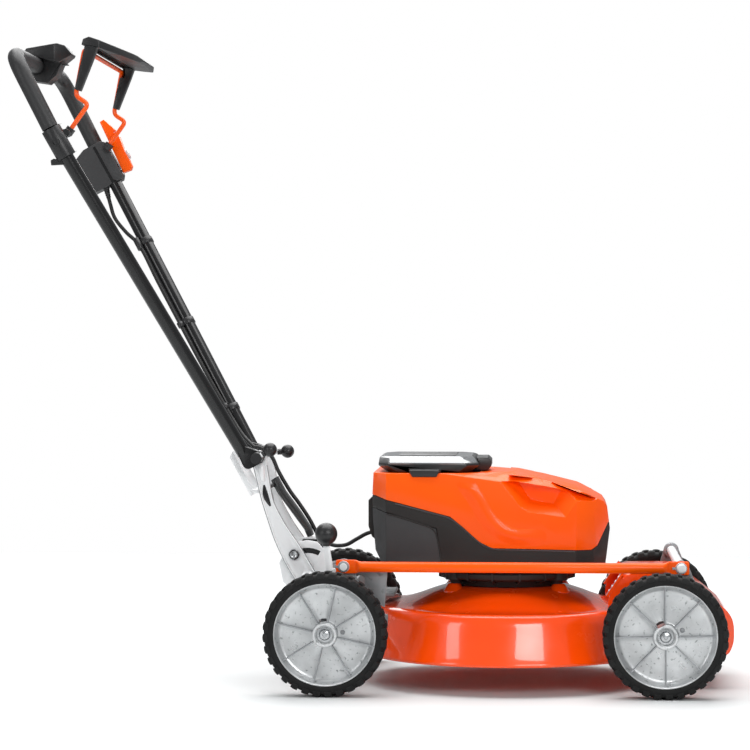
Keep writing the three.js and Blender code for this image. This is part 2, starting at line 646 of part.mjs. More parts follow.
function startLever() {
  const outline = [[-759, 1001], [-751.5, 1005.5], [-731, 987], [-733, 981], [-723, 974],
    [-714, 950], [-708, 940], [-699, 919], [-701.5, 912], [-715, 907], [-734, 948], [-746, 972]];
  return plate(outline, 222, 244);
}

function bail() {
  const right = [[-741, 954], [-708, 1000], [-730, 1014], [-715, 1092]];
  const leg = (side) => right.map(([x, z]) => [x, side * BAIL_Y, z]);
  const route = [...leg(-1), ...leg(1).reverse()];
  return swept(filleted(route, 9), BAIL_R, 64, 6);
}

// Palm cover over the bail: a top plate that tapers to its ends and a channel down each leg.
function bailCover() {
  const plan = [[-722, -216], [-688, -216], [-668, -176], [-644, -120], [-634, -60]];
  const ends = [...plan, ...plan.map(([x, y]) => [x, -y]).reverse()];
  const top = plate([[-719, 1100], [-700, 1097.6], [-640, 1081], [-632, 1086], [-640, 1092],
    [-706, 1114], [-716, 1110]], -216, 216).intersect(slab(ends, 1070, 1120));
  const leg = plate([[-731, 1025], [-720.5, 1021.5], [-697, 1080], [-690, 1100], [-713, 1100]],
    BAIL_Y - 8, BAIL_Y + 8);
  const channel = plate([[-745, 1004], [-725.2, 1010], [-710.4, 1088], [-709.4, 1097.2],
    [-745, 1097.2]], BAIL_Y - 4.8, BAIL_Y + 4.8);
  const crossing = block([-730, -BAIL_Y, 1081], [-709.4, BAIL_Y, 1097.2]);
  return cut(join(top, leg, mirrorY(leg)), channel, mirrorY(channel), crossing);
}

// Console clamped on the middle of the cross bar, with a paddle reaching forwards.
function consoleClamp() {
  const paddle = plate([[-850, 1106], [-846, 1112], [-792, 1121], [-780, 1118], [-769, 1104],
    [-771, 1100], [-790, 1088], [-822, 1095], [-850, 1100]], -42, 42);
  const taper = (side) => slab([[-767, side * 43], [-767, side * 22], [-798, side * 43]], 1080, 1130);
  const clamp = plate([[-850, 1101], [-850, 1072], [-838, 1056], [-812, 1052], [-796, 1066],
    [-786, 1090]], -22, 22);
  const bar = rod([BAR_CORNER[0], -60, BAR_CORNER[2]], [BAR_CORNER[0], 60, BAR_CORNER[2]],
    GRIP_R + GAP, 28);
  const well = rod([-800, 0, 1106], [-800, 0, 1130], 10.5, 20);
  return cut(join(paddle, clamp), bar, taper(1), taper(-1), well);
}

function clampLever(x, z) {
  const ball = new THREE.SphereGeometry(12, 12, 8);
  ball.translate(x, 113, z);
  const hub = rod(across(FOLD_PIVOT, 94.5), across(FOLD_PIVOT, 116), 10, 16);
  return join(hub, rod(across(FOLD_PIVOT, 111), [x, 113, z], 4, 10), solid(ball));
}

function addHandle() {
  add('handle_tube_right', mirrorY(handleTube()), tubeBlack);
  add('handle_tube_left', handleTube(), tubeBlack);
  add('grip_bar', gripBar(), blackPlastic);
  add('coupling_sleeve', couplingSleeve(), blackPlastic);
  add('switch_box', switchBox(), darkGrey);
  add('start_lever', startLever(), coverOrange);
  add('bail', bail(), coverOrange);
  add('bail_cover', bailCover(), blackPlastic);
  add('console', consoleClamp(), blackPlastic);
  add('power_button', rod([-800, 0, 1110.5], [-800, 0, 1121], 9.5, 20), coverOrange);
  add('clamp_lever_right', mirrorY(clampLever(-408, 409)), blackPlastic);
  add('clamp_lever_left', clampLever(-399, 396), blackPlastic);
}

// ---- control cable ------------------------------------------------------
// Clipped along the left tube, through the guard, then to the housing.
const CABLE_R = 3.5;
function cable(points, steps) {
  const curve = new THREE.CatmullRomCurve3(points.map((point) => new THREE.Vector3(...point)));
  return swept(curve, CABLE_R, steps, 6);
}

function addCable() {
  add('upper_cable', cable([[-745, 222, 872], [-738, 216, 848], [-728, 206, 822],
    [-706, 196, 796], [-676, 174, 768], [-640, 155, 702], [-596, 131, 625], [-550, 107, 545],
    [-504, 82, 470], [-476, 58, 430], [-452, 30, 408]], 32), tubeBlack);
  add('lower_cable', cable([[-330, 11, 244], [-318, 10, 238], [-303, 8, 234], [-284, 6, 236],
    [-266, 4, 246], [-248, 2, 256], [-230.5, 0, 261]], 20), tubeBlack);
}

addWheels();
addHeightAdjustment();
add('deck', deck(), deckOrange);
add('front_housing', frontHousing(), deckOrange);
add('rear_frame', rearFrame(), castGrey);
add('lever_sector', mirrorY(leverSector()), castGrey);
addMotor();
addHousing();
addHandleBase();
addHandle();
addCable();

export default mower;
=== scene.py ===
"""Looks for a battery push lawn mower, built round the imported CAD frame.

Shapes are given in millimetres from the blade axis (X), the middle (Y) and the
ground (Z), and turned into the frame's metres by at().
"""
import json
from math import cos, pi, radians, sin, sqrt

import bmesh
import bpy
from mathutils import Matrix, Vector


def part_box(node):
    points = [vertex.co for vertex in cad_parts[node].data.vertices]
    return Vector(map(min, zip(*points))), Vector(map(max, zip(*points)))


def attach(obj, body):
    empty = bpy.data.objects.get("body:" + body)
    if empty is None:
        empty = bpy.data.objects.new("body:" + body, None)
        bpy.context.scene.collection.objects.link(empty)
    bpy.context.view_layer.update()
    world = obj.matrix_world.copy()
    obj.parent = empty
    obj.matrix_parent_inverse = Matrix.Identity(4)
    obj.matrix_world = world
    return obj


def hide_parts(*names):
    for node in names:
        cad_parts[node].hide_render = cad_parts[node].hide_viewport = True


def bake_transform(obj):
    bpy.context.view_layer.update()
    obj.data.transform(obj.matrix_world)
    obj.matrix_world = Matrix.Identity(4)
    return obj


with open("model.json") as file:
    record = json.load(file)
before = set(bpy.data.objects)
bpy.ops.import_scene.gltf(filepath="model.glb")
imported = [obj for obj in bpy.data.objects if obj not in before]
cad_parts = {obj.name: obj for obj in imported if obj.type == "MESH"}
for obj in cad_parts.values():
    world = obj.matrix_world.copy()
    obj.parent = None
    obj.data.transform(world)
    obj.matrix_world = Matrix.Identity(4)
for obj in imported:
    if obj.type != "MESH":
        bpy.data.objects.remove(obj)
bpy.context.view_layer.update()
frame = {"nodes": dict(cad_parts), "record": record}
MM = 0.001


def middle(node):
    """The middle of a CAD node's box, in metres."""
    low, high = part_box(node)
    return (low + high) / 2


BLADE_X = middle("spindle").x


def at(x, y, z):
    """A point given in millimetres, in the frame's metres."""
    return Vector((BLADE_X + x * MM, y * MM, z * MM))


def place(node):
    """The middle of a CAD node's box, in millimetres from the blade axis."""
    point = middle(node)
    return Vector(((point.x - BLADE_X) / MM, point.y / MM, point.z / MM))


# ---- driving dimensions, millimetres ----
FRONT_AXLE = place("front_axle")
REAR_AXLE = place("rear_axle")
WHEEL_Y = abs(place("front_left_tyre").y)
HALF_TREAD = 25
TYRE_R = 105
RIM_R = 88
CRANK_PIVOT = (63, 19)
CRANK_PIN = (28, 110)
PIN_Z = FRONT_AXLE.z + CRANK_PIN[1]
FRONT_PIN_X = FRONT_AXLE.x + CRANK_PIN[0]
REAR_PIN_X = REAR_AXLE.x + CRANK_PIN[0]
COVER_HALF = 135
TILT_PIVOT = (-348, 186)
LOCK_BOLT = (-371, 223.5)
FOLD_PIVOT = (-432, 394)
TUBE_LOW = Vector((-457, 76, 400))
TUBE_HIGH = Vector((-742, 230, 910))
TUBE_R = 12
GRIP_LOW = Vector((-768.5, 235.2, 958))
BAR_CORNER = Vector((-832, 238, 1083))
GRIP_R = 14.2
BAIL_Y = 207
BAIL_PIVOT = (-743, 950)
CABLE_R = 3.5
RIGHT, LEFT = -1, 1
SIDES = {"right": RIGHT, "left": LEFT}


# ---- materials ----
def srgb(red, green, blue):
    """A display colour, 0 to 255, as linear light."""
    def linear(value):
        value /= 255
        return value / 12.92 if value <= 0.04045 else ((value + 0.055) / 1.055) ** 2.4
    return (linear(red), linear(green), linear(blue), 1.0)


def noise_node(tree, scale, detail, stretch=(1, 1, 1)):
    nodes, links = tree.nodes, tree.links
    coords = nodes.new("ShaderNodeTexCoord")
    mapping = nodes.new("ShaderNodeMapping")
    mapping.inputs["Scale"].default_value = stretch
    links.new(coords.outputs["Object"], mapping.inputs["Vector"])
    texture = nodes.new("ShaderNodeTexNoise")
    texture.inputs["Scale"].default_value = scale
    texture.inputs["Detail"].default_value = detail
    links.new(mapping.outputs["Vector"], texture.inputs["Vector"])
    return texture.outputs["Fac"]


def ramp(tree, source, low, high, colour_low, colour_high):
    """Colours spread over the stretch low to high of a value."""
    node = tree.nodes.new("ShaderNodeValToRGB")
    first, last = node.color_ramp.elements
    first.position, first.color = low, colour_low
    last.position, last.color = high, colour_high
    tree.links.new(source, node.inputs["Fac"])
    return node.outputs["Color"]


def shade(colour, factor):
    return tuple(min(1.0, c * factor) for c in colour[:3]) + (1.0,)


def mixed(tree, mask, first, second):
    """One colour laid over another where the mask is white."""
    node = tree.nodes.new("ShaderNodeMix")
    node.data_type = "RGBA"
    tree.links.new(mask, node.inputs["Factor"])
    tree.links.new(first, node.inputs["A"])
    node.inputs["B"].default_value = second
    return node.outputs["Result"]


LOOKS = {}


def surface(name, colour, roughness, metallic=0.0, specular=0.5, coat=0.0, coat_roughness=0.08,
            tone=0.08, tone_scale=14.0, rough_spread=0.06, grain=0.0, grain_scale=900.0,
            stretch=(1, 1, 1), spots=None, edge_highlight=0.0, transmission=0.0):
    """Adds a look: a principled material whose tone, roughness and fine grain vary over it."""
    material = bpy.data.materials.new(name)
    material.use_nodes = True
    tree = material.node_tree
    links = tree.links
    shader = tree.nodes["Principled BSDF"]
    shader.inputs["Metallic"].default_value = metallic
    shader.inputs["Specular IOR Level"].default_value = specular
    shader.inputs["Coat Weight"].default_value = coat
    shader.inputs["Coat Roughness"].default_value = coat_roughness
    shader.inputs["Transmission Weight"].default_value = transmission

    colour_out = ramp(tree, noise_node(tree, tone_scale, 6.0, stretch), 0.3, 0.7,
                      shade(colour, 1 - tone), shade(colour, 1 + tone))
    if spots:
        spot_colour, spot_scale, low, high = spots
        mask = ramp(tree, noise_node(tree, spot_scale, 10.0), low, high, (0, 0, 0, 1), (1, 1, 1, 1))
        colour_out = mixed(tree, mask, colour_out, spot_colour)
    # Painted edge highlight: sharp convex edges, found by pointiness, are lightened towards 2.2 times the
    # colour.
    if edge_highlight:
        geometry = tree.nodes.new("ShaderNodeNewGeometry")
        mask = ramp(tree, geometry.outputs["Pointiness"], 0.52, 0.60, (0, 0, 0, 1), (edge_highlight,) * 3 + (1,))
        colour_out = mixed(tree, mask, colour_out, shade(colour, 2.2))
    links.new(colour_out, shader.inputs["Base Color"])

    low = (max(0.02, roughness - rough_spread),) * 3 + (1,)
    high = (min(1.0, roughness + rough_spread),) * 3 + (1,)
    links.new(ramp(tree, noise_node(tree, tone_scale * 3, 4.0, stretch), 0.3, 0.7, low, high),
              shader.inputs["Roughness"])
    if grain:
        bump = tree.nodes.new("ShaderNodeBump")
        bump.inputs["Strength"].default_value = grain
        bump.inputs["Distance"].default_value = 0.0004
        links.new(noise_node(tree, grain_scale, 3.0, stretch), bump.inputs["Height"])
        links.new(bump.outputs["Normal"], shader.inputs["Normal"])
    LOOKS[name] = material


surface("deck_orange", srgb(252, 74, 0), 0.22, specular=0.4, coat=0.75, coat_roughness=0.04,
        tone=0.04, tone_scale=9, grain=0.08, grain_scale=420, edge_highlight=0.15)
surface("cover_orange", srgb(255, 88, 0), 0.36, specular=0.14, coat=0.22, coat_roughness=0.10,
        tone=0.03, tone_scale=8, grain=0.08, grain_scale=1600, edge_highlight=0.2)
surface("charcoal", srgb(36, 34, 33), 0.48, specular=0.30, tone=0.10, grain=0.35, grain_scale=2200,
        edge_highlight=0.4)
surface("dark_grey", srgb(58, 58, 59), 0.5, specular=0.25, tone=0.08, grain=0.35, grain_scale=2200,
        edge_highlight=0.3)
surface("black_plastic", srgb(31, 31, 32), 0.34, specular=0.45, tone=0.12, grain=0.25,
        grain_scale=2000, edge_highlight=0.4)
surface("tube_black", srgb(20, 20, 21), 0.26, metallic=0.1, specular=0.4, coat=0.3, coat_roughness=0.12,
        tone=0.06, rough_spread=0.03, grain=0.03, grain_scale=1200)
surface("silver", srgb(240, 241, 242), 0.36, metallic=0.30, tone=0.015, tone_scale=7,
        rough_spread=0.04, grain=0.05, grain_scale=1500)
surface("cast_grey", srgb(128, 130, 132), 0.5, metallic=0.55, tone=0.14, tone_scale=30,
        grain=0.7, grain_scale=700, edge_highlight=0.5, spots=(srgb(90, 92, 94), 90, 0.56, 0.66))
surface("wheel_silver", srgb(200, 202, 203), 0.38, metallic=0.72, tone=0.22, tone_scale=17,
        rough_spread=0.12, grain=0.45, grain_scale=420, edge_highlight=0.3,
        spots=(srgb(140, 144, 144), 170, 0.60, 0.69))
surface("tyre", srgb(24, 24, 24), 0.72, specular=0.22, tone=0.16, tone_scale=40, grain=0.5,
        grain_scale=1100, edge_highlight=0.5)
surface("steel", srgb(188, 190, 192), 0.26, metallic=0.9, tone=0.06, tone_scale=60, grain=0.15,
        grain_scale=1500, stretch=(1, 1, 5))
surface("copper", srgb(150, 92, 58), 0.42, metallic=0.8, tone=0.15, tone_scale=80, grain=0.5,
        grain_scale=900)
surface("cable", srgb(26, 26, 26), 0.5, specular=0.4, tone=0.10, grain=0.2, grain_scale=1500)
surface("orange_wire", srgb(255, 90, 2), 0.3, specular=0.35, coat=0.2, tone=0.05, grain=0.1,
        grain_scale=1200)
surface("lid_gloss", srgb(132, 134, 136), 0.12, metallic=0.5, specular=0.7, coat=0.6, tone=0.06,
        tone_scale=6, grain=0.05, grain_scale=900)
surface("foam_grip", srgb(38, 38, 39), 0.46, specular=0.5, tone=0.06, tone_scale=30, grain=0.3,
        grain_scale=1500)
surface("lens", srgb(214, 220, 222), 0.2, specular=0.6, tone=0.05, transmission=0.5)


def paint_nodes():
    """Gives every CAD node the material of its slot."""
    for part in frame["record"]["subparts"]:
        node = frame["nodes"][part["node"]]
        for material_slot in node.material_slots:
            material_slot.link = "OBJECT"
            material_slot.material = LOOKS[part["material_slot"]]


# ---- mesh helpers ----
def skin(bm, rings, capped=True):
    """Faces between neighbouring rings of vertices, and across both ends if capped."""
    for low, high in zip(rings, rings[1:]):
        for i in range(len(low)):
            j = (i + 1) % len(low)
            bm.faces.new([low[i], low[j], high[j], high[i]])
    if capped:
        bm.faces.new(rings[0][::-1])
        bm.faces.new(rings[-1])
    return bm


def lathe(profile, centre, axis="Y", steps=64):
    """A ring or disc turned about an axis through centre, from its (radius, height) outline.

    An outline that starts on the axis ends on it; any other closes on itself.
    """
    bm = bmesh.new()
    centre = Vector(centre)
    along = Vector((0, 1, 0)) if axis == "Y" else Vector((0, 0, 1)) if axis == "Z" else axis.normalized()
    side = Vector((1, 0, 0)) if abs(along.x) < 0.9 else Vector((0, 0, 1))
    side = (side - along * side.dot(along)).normalized()
    other = along.cross(side)
    rings = []
    for radius, height in profile:
        if radius == 0:
            rings.append([bm.verts.new(at(*(centre + along * height)))])
            continue
        ring = []
        for i in range(steps):
            angle = 2 * pi * i / steps
            point = centre + along * height + side * (radius * cos(angle)) + other * (radius * sin(angle))
            ring.append(bm.verts.new(at(*point)))
        rings.append(ring)
    closing = [rings[0]] if profile[0][0] else []
    for low, high in zip(rings, rings[1:] + closing):
        for i in range(steps):
            j = (i + 1) % steps
            corners = [low[i % len(low)], low[j % len(low)], high[j % len(high)], high[i % len(high)]]
            corners = list(dict.fromkeys(corners))
            if len(corners) > 2:
                bm.faces.new(corners)
    return bm


def side_lathe(profile, out, spot, steps):
    """A turned piece across the mower: heights are distances from the middle, spot is its X and Z."""
    return lathe([(radius, out * y) for radius, y in profile], (spot[0], 0, spot[1]), "Y", steps)


def ball(centre, radius, steps=40):
    count = steps // 2
    profile = [(radius * sin(pi * i / count), -radius * cos(pi * i / count)) for i in range(1, count)]
    return lathe([(0, -radius)] + profile + [(0, radius)], centre, "Z", steps)


def extruded(outline, low, high, axis="Y"):
    """A plate from an outline in X and Z (or in X and Y), between two values of Y (or Z)."""
    bm = bmesh.new()
    def point(u, v, w):
        return at(u, w, v) if axis == "Y" else at(u, v, w)
    bottom = [bm.verts.new(point(u, v, low)) for u, v in outline]
    top = [bm.verts.new(point(u, v, high)) for u, v in outline]
    bm.faces.new(bottom)
    bm.faces.new(top[::-1])
    for i, (a, b) in enumerate(zip(bottom, top)):
        j = (i + 1) % len(bottom)
        bm.faces.new([a, b, top[j], bottom[j]])
    return bm


def box(low, high):
    return extruded([(low[0], low[2]), (high[0], low[2]), (high[0], high[2]), (low[0], high[2])],
                    low[1], high[1])


def hull(points):
    """The convex solid through the given points."""
    bm = bmesh.new()
    for point in points:
        bm.verts.new(at(*point))
    result = bmesh.ops.convex_hull(bm, input=bm.verts)
    bmesh.ops.delete(bm, geom=result["geom_unused"] + result["geom_interior"], context="VERTS")
    bmesh.ops.dissolve_limit(bm, angle_limit=radians(1), verts=bm.verts, edges=bm.edges)
    return bm


def sweep(points, radius, steps=16, flat=1.0):
    """A round bar along a line of points; flat squeezes its section across Y."""
    bm = bmesh.new()
    points = [Vector(p) for p in points]
    radii = radius if isinstance(radius, (list, tuple)) else [radius] * len(points)
    tangents = [(points[min(i + 1, len(points) - 1)] - points[max(i - 1, 0)]).normalized()
                for i in range(len(points))]
    first = Vector((0, 1, 0)) if abs(tangents[0].y) < 0.8 else Vector((1, 0, 0))
    side = (first - tangents[0] * first.dot(tangents[0])).normalized()
    rings = []
    for point, tangent, r in zip(points, tangents, radii):
        side = (side - tangent * side.dot(tangent)).normalized()
        up = tangent.cross(side)
        rings.append([bm.verts.new(at(*(point + side * (r * flat * cos(2 * pi * i / steps))
                                        + up * (r * sin(2 * pi * i / steps))))) for i in range(steps)])
    return skin(bm, rings)


def rounded(points, radius, steps=6, closed=False):
    """A line of points (two or three numbers each) with its corners rounded."""
    size = len(points[0])
    corners = [Vector(tuple(p) + (0,) * (3 - size)) for p in points]
    count = len(corners)
    result = []
    for i, corner in enumerate(corners):
        if not closed and i in (0, count - 1):
            result.append(corner)
            continue
        before, after = corners[i - 1] - corner, corners[(i + 1) % count] - corner
        reach = min(radius, before.length * 0.48, after.length * 0.48)
        start, end = corner + before.normalized() * reach, corner + after.normalized() * reach
        for k in range(steps + 1):
            t = k / steps
            result.append(start * (1 - t) ** 2 + corner * (2 * t * (1 - t)) + end * t ** 2)
    return [tuple(p)[:size] for p in result]


def smooth_path(points, per_span=8):
    """A Catmull-Rom curve through the points."""
    points = [Vector(p) for p in points]
    ends = [points[0] * 2 - points[1]] + points + [points[-1] * 2 - points[-2]]
    result = []
    for i in range(len(points) - 1):
        a, b, c, d = ends[i:i + 4]
        for k in range(per_span):
            t = k / per_span
            result.append(((b * 2) + (c - a) * t + (a * 2 - b * 5 + c * 4 - d) * t * t
                           + (b * 3 - a - c * 3 + d) * t ** 3) / 2)
    return result + [points[-1]]


def joined(*parts):
    """Several meshes as one."""
    whole = bmesh.new()
    for part in parts:
        mesh = bpy.data.meshes.new("part")
        part.to_mesh(mesh)
        part.free()
        whole.from_mesh(mesh)
        bpy.data.meshes.remove(mesh)
    return whole


def mirrored(bm):
    """The same mesh on the other side of the mower."""
    other = bm.copy()
    bmesh.ops.scale(other, vec=(1, -1, 1), verts=other.verts)
    bmesh.ops.reverse_faces(other, faces=other.faces)
    return other


def bevelled(bm, width, segments=2, angle=25):
    """Rounds the edges that are sharper than an angle."""
    edges = [e for e in bm.edges if len(e.link_faces) == 2 and e.calc_face_angle(0) > radians(angle)]
    bmesh.ops.bevel(bm, geom=edges, offset=width * MM, offset_type="OFFSET", segments=segments,
                    profile=0.6, affect="EDGES", clamp_overlap=False)
    return bm


def piece(name, bm, look, body, replaces=(), sharp=32):
    """A finished mesh that rides on a body, with its material."""
    bmesh.ops.recalc_face_normals(bm, faces=bm.faces)
    mesh = bpy.data.meshes.new(name)
    bm.to_mesh(mesh)
    bm.free()
    mesh.materials.append(LOOKS[look])
    mesh.shade_smooth()
    mesh.set_sharp_from_angle(angle=radians(sharp))
    obj = bpy.data.objects.new(name, mesh)
    bpy.context.scene.collection.objects.link(obj)
    if body:
        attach(obj, body)
    if replaces:
        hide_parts(*([replaces] if isinstance(replaces, str) else replaces))
    return obj


BODY_OF = {node: body for body, nodes in frame["record"]["behaviour"]["bodies"].items()
           for node in nodes}
SLOT_OF_NODE = {part["node"]: part["material_slot"] for part in frame["record"]["subparts"]}


def cad_mesh(node):
    bm = bmesh.new()
    bm.from_mesh(frame["nodes"][node].data)
    bmesh.ops.remove_doubles(bm, verts=bm.verts, dist=1e-6)
    bmesh.ops.dissolve_limit(bm, angle_limit=radians(2), verts=bm.verts, edges=bm.edges)
    return bm


def refined(node, width, segments=2, angle=28):
    """A CAD node's own shape with its edges rounded, in place of the node."""
    bm = bevelled(cad_mesh(node), width, segments, angle)
    return piece(node + "_body", bm, SLOT_OF_NODE[node], BODY_OF[node], node)


def carve(obj, *cutters):
    """Cuts solids out of a piece."""
    for cutter in cutters:
        bmesh.ops.recalc_face_normals(cutter, faces=cutter.faces)
        mesh = bpy.data.meshes.new("cutter")
        cutter.to_mesh(mesh)
        cutter.free()
        tool = bpy.data.objects.new("cutter", mesh)
        bpy.context.scene.collection.objects.link(tool)
        modifier = obj.modifiers.new("cut", "BOOLEAN")
        modifier.operation = "DIFFERENCE"
        modifier.solver = "EXACT"
        modifier.object = tool
        evaluated = obj.evaluated_get(bpy.context.evaluated_depsgraph_get())
        result = bpy.data.meshes.new_from_object(evaluated)
        obj.modifiers.clear()
        old = obj.data
        obj.data = result
        bpy.data.meshes.remove(old)
        bpy.data.objects.remove(tool)
    return obj


def screw(centre, axis, radius, height):
    """A pan head with a round recess."""
    return lathe([(0, height * 0.45), (radius * 0.42, height * 0.45), (radius * 0.46, height),
                  (radius * 0.8, height * 0.94), (radius, height * 0.5), (radius, -1), (0, -1)],
                 centre, axis, 24)


# ---- camera, floor and light ----
def add_camera():
    """A long lens on the mower's right side, a little behind and above its middle."""
    data = bpy.data.cameras.new("camera")
    data.lens = 132.96
    data.sensor_width = 36
    data.clip_end = 50
    camera = bpy.data.objects.new("camera", data)
    bpy.context.scene.collection.objects.link(camera)
    turn, dip = radians(3.581), radians(1.07)
    forward = Vector((-sin(turn) * cos(dip), cos(turn) * cos(dip), -sin(dip)))
    camera.location = (0.3022, -4.881, 0.6278)
    camera.rotation_mode = "QUATERNION"
    camera.rotation_quaternion = forward.to_track_quat("-Z", "Y")
    bpy.context.scene.camera = camera


def add_stage():
    material = bpy.data.materials.new("floor")
    material.use_nodes = True
    shader = material.node_tree.nodes["Principled BSDF"]
    shader.inputs["Specular IOR Level"].default_value = 0.15
    tint = ramp(material.node_tree, noise_node(material.node_tree, 0.8, 3.0), 0.3, 0.7,
                (0.70, 0.715, 0.715, 1), (0.72, 0.735, 0.735, 1))
    material.node_tree.links.new(tint, shader.inputs["Base Color"])
    shader.inputs["Roughness"].default_value = 0.75
    mesh = bpy.data.meshes.new("floor")
    reach = 2.6
    mesh.from_pydata([(-reach, -reach, 0), (reach, -reach, 0), (reach, reach, 0), (-reach, reach, 0)],
                     [], [(0, 1, 2, 3)])
    mesh.materials.append(material)
    floor = bpy.data.objects.new("floor", mesh)
    bpy.context.scene.collection.objects.link(floor)


def add_light(name, place_at, target, size, power):
    data = bpy.data.lights.new(name, "AREA")
    data.shape = "RECTANGLE"
    data.size, data.size_y = size
    data.energy = power
    light = bpy.data.objects.new(name, data)
    light.location = place_at
    light.rotation_mode = "QUATERNION"
    light.rotation_quaternion = (Vector(target) - Vector(place_at)).to_track_quat("-Z", "Y")
    bpy.context.scene.collection.objects.link(light)


def add_lights():
    """Even white surroundings, a broad light overhead and softer ones at the sides."""
    world = bpy.data.worlds.new("studio")
    world.use_nodes = True
    nodes, links = world.node_tree.nodes, world.node_tree.links
    lit, seen = nodes["Background"], nodes.new("ShaderNodeBackground")
    lit.inputs["Color"].default_value = (0.96, 0.98, 1.0, 1)
    lit.inputs["Strength"].default_value = 0.34
    seen.inputs["Color"].default_value = (1, 1, 1, 1)
    path, mix = nodes.new("ShaderNodeLightPath"), nodes.new("ShaderNodeMixShader")
    links.new(path.outputs["Is Camera Ray"], mix.inputs["Fac"])
    links.new(lit.outputs["Background"], mix.inputs[1])
    links.new(seen.outputs["Background"], mix.inputs[2])
    links.new(mix.outputs["Shader"], nodes["World Output"].inputs["Surface"])
    bpy.context.scene.world = world
    add_light("top", (0.1, 0.8, 2.9), (0.1, 0.8, 0), (3.4, 3.8), 165)
    add_light("key", (1.3, -3.0, 1.6), (0.1, 0, 0.25), (1.3, 1.0), 36)
    add_light("fill", (-2.4, -2.6, 1.3), (-0.1, 0, 0.4), (0.7, 1.8), 18)
    add_light("back", (-0.9, 3.4, 2.2), (0, 0, 0.4), (2.4, 1.4), 30)
    bpy.context.scene.view_settings.view_transform = "Standard"


# ---- wheels ----
def lug(centre, out, first, last):
    """One tread block on a shoulder, between two angles about the axle."""
    section = [(99.5, 1.5), (104.6, 2.2), (TYRE_R, 4.0), (TYRE_R, 18.8), (103.2, 22.6),
               (98.6, 24.8), (95.6, HALF_TREAD), (95.0, 22.0), (99.0, 20.0)]
    bm = bmesh.new()
    stations = []
    for k in range(4):
        angle = first + (last - first) * k / 3
        inset = 0.7 if k in (0, 3) else 0.0
        ring = []
        for radius, width in section:
            r = radius - (inset if radius > 100 else 0)
            ring.append(bm.verts.new(at(centre[0] + r * cos(angle), centre[1] + out * width,
                                        centre[2] + r * sin(angle))))
        stations.append(ring)
    return skin(bm, stations)


def tyre(centre):
    half = [(RIM_R + 0.5, 19.6), (RIM_R + 0.4, 20.9), (86.6, 21.4), (86.3, 22.2), (88.4, 23.2),
            (91.5, 23.9), (94.4, 24.0), (97.6, 23.4), (99.8, 21.4), (100.9, 18.0), (101.0, 9.0)]
    profile = [(r, -y) for r, y in half] + [(r, y) for r, y in reversed(half)]
    parts = [lathe(profile, centre, "Y", 96)]
    count = 32
    pitch = 2 * pi / count
    for out, shift in ((-1, 0.0), (1, 0.5)):
        for i in range(count):
            start = (i + shift) * pitch
            parts.append(lug(centre, out, start, start + pitch * 0.62))
    return joined(*parts)


def rim(centre, out):
    """Cast rim without its ribs; out is the side it faces."""
    profile = [(8.5, -20), (19, -20), (19.8, -18.5), (20, -4), (23, -1.6), (73, 1.8), (78.6, 0.6),
               (80.6, -3), (81.6, -19), (83, -20.4), (87.6, -20.4), (RIM_R, -19.8), (RIM_R, 20.2),
               (87.2, 21), (85.2, 21), (84.2, 20.2), (82.6, 17.0), (78.4, 10.6), (75.8, 8.9),
               (72, 8.2), (26, 6.2), (22.6, 7.0), (21.2, 9.0), (20.8, 21.8), (19.8, 23), (16.8, 23),
               (16.2, 22.4), (15.6, 19.2), (14.8, 18.6), (14.4, 13), (13.6, 12), (8.5, 12)]
    return lathe([(r, out * y) for r, y in profile], centre, "Y", 96)


def rim_ribs(centre, out, turn):
    """Eight spokes standing on the web, and a cast spot beside the hub."""
    parts = []
    for i in range(8):
        angle = turn + i * pi / 4
        radial = Vector((cos(angle), 0, sin(angle)))
        square = Vector((-sin(angle), 0, cos(angle)))
        corners = []
        for radius, top in ((19.5, 19.6), (40, 17.6), (70, 17.2), (83.6, 18.6)):
            for side in (-1, 1):
                foot = Vector(centre) + radial * radius
                corners.append((foot + square * (side * 1.5) + Vector((0, out * 4, 0)),
                                foot + square * (side * 0.8) + Vector((0, out * top, 0))))
        bm = bmesh.new()
        rings = []
        for k in range(0, len(corners), 2):
            (low_a, high_a), (low_b, high_b) = corners[k], corners[k + 1]
            rings.append([bm.verts.new(at(*p)) for p in (low_a, high_a, high_b, low_b)])
        parts.append(skin(bm, rings))
    pad_angle = turn + radians(20)
    pad = Vector(centre) + Vector((cos(pad_angle), 0, sin(pad_angle))) * 30 + Vector((0, out * 6, 0))
    parts.append(lathe([(0, out * 1.6), (3.4, out * 1.4), (4.4, 0), (4.4, out * -2), (0, out * -2)],
                       pad, "Y", 20))
    return joined(*parts)


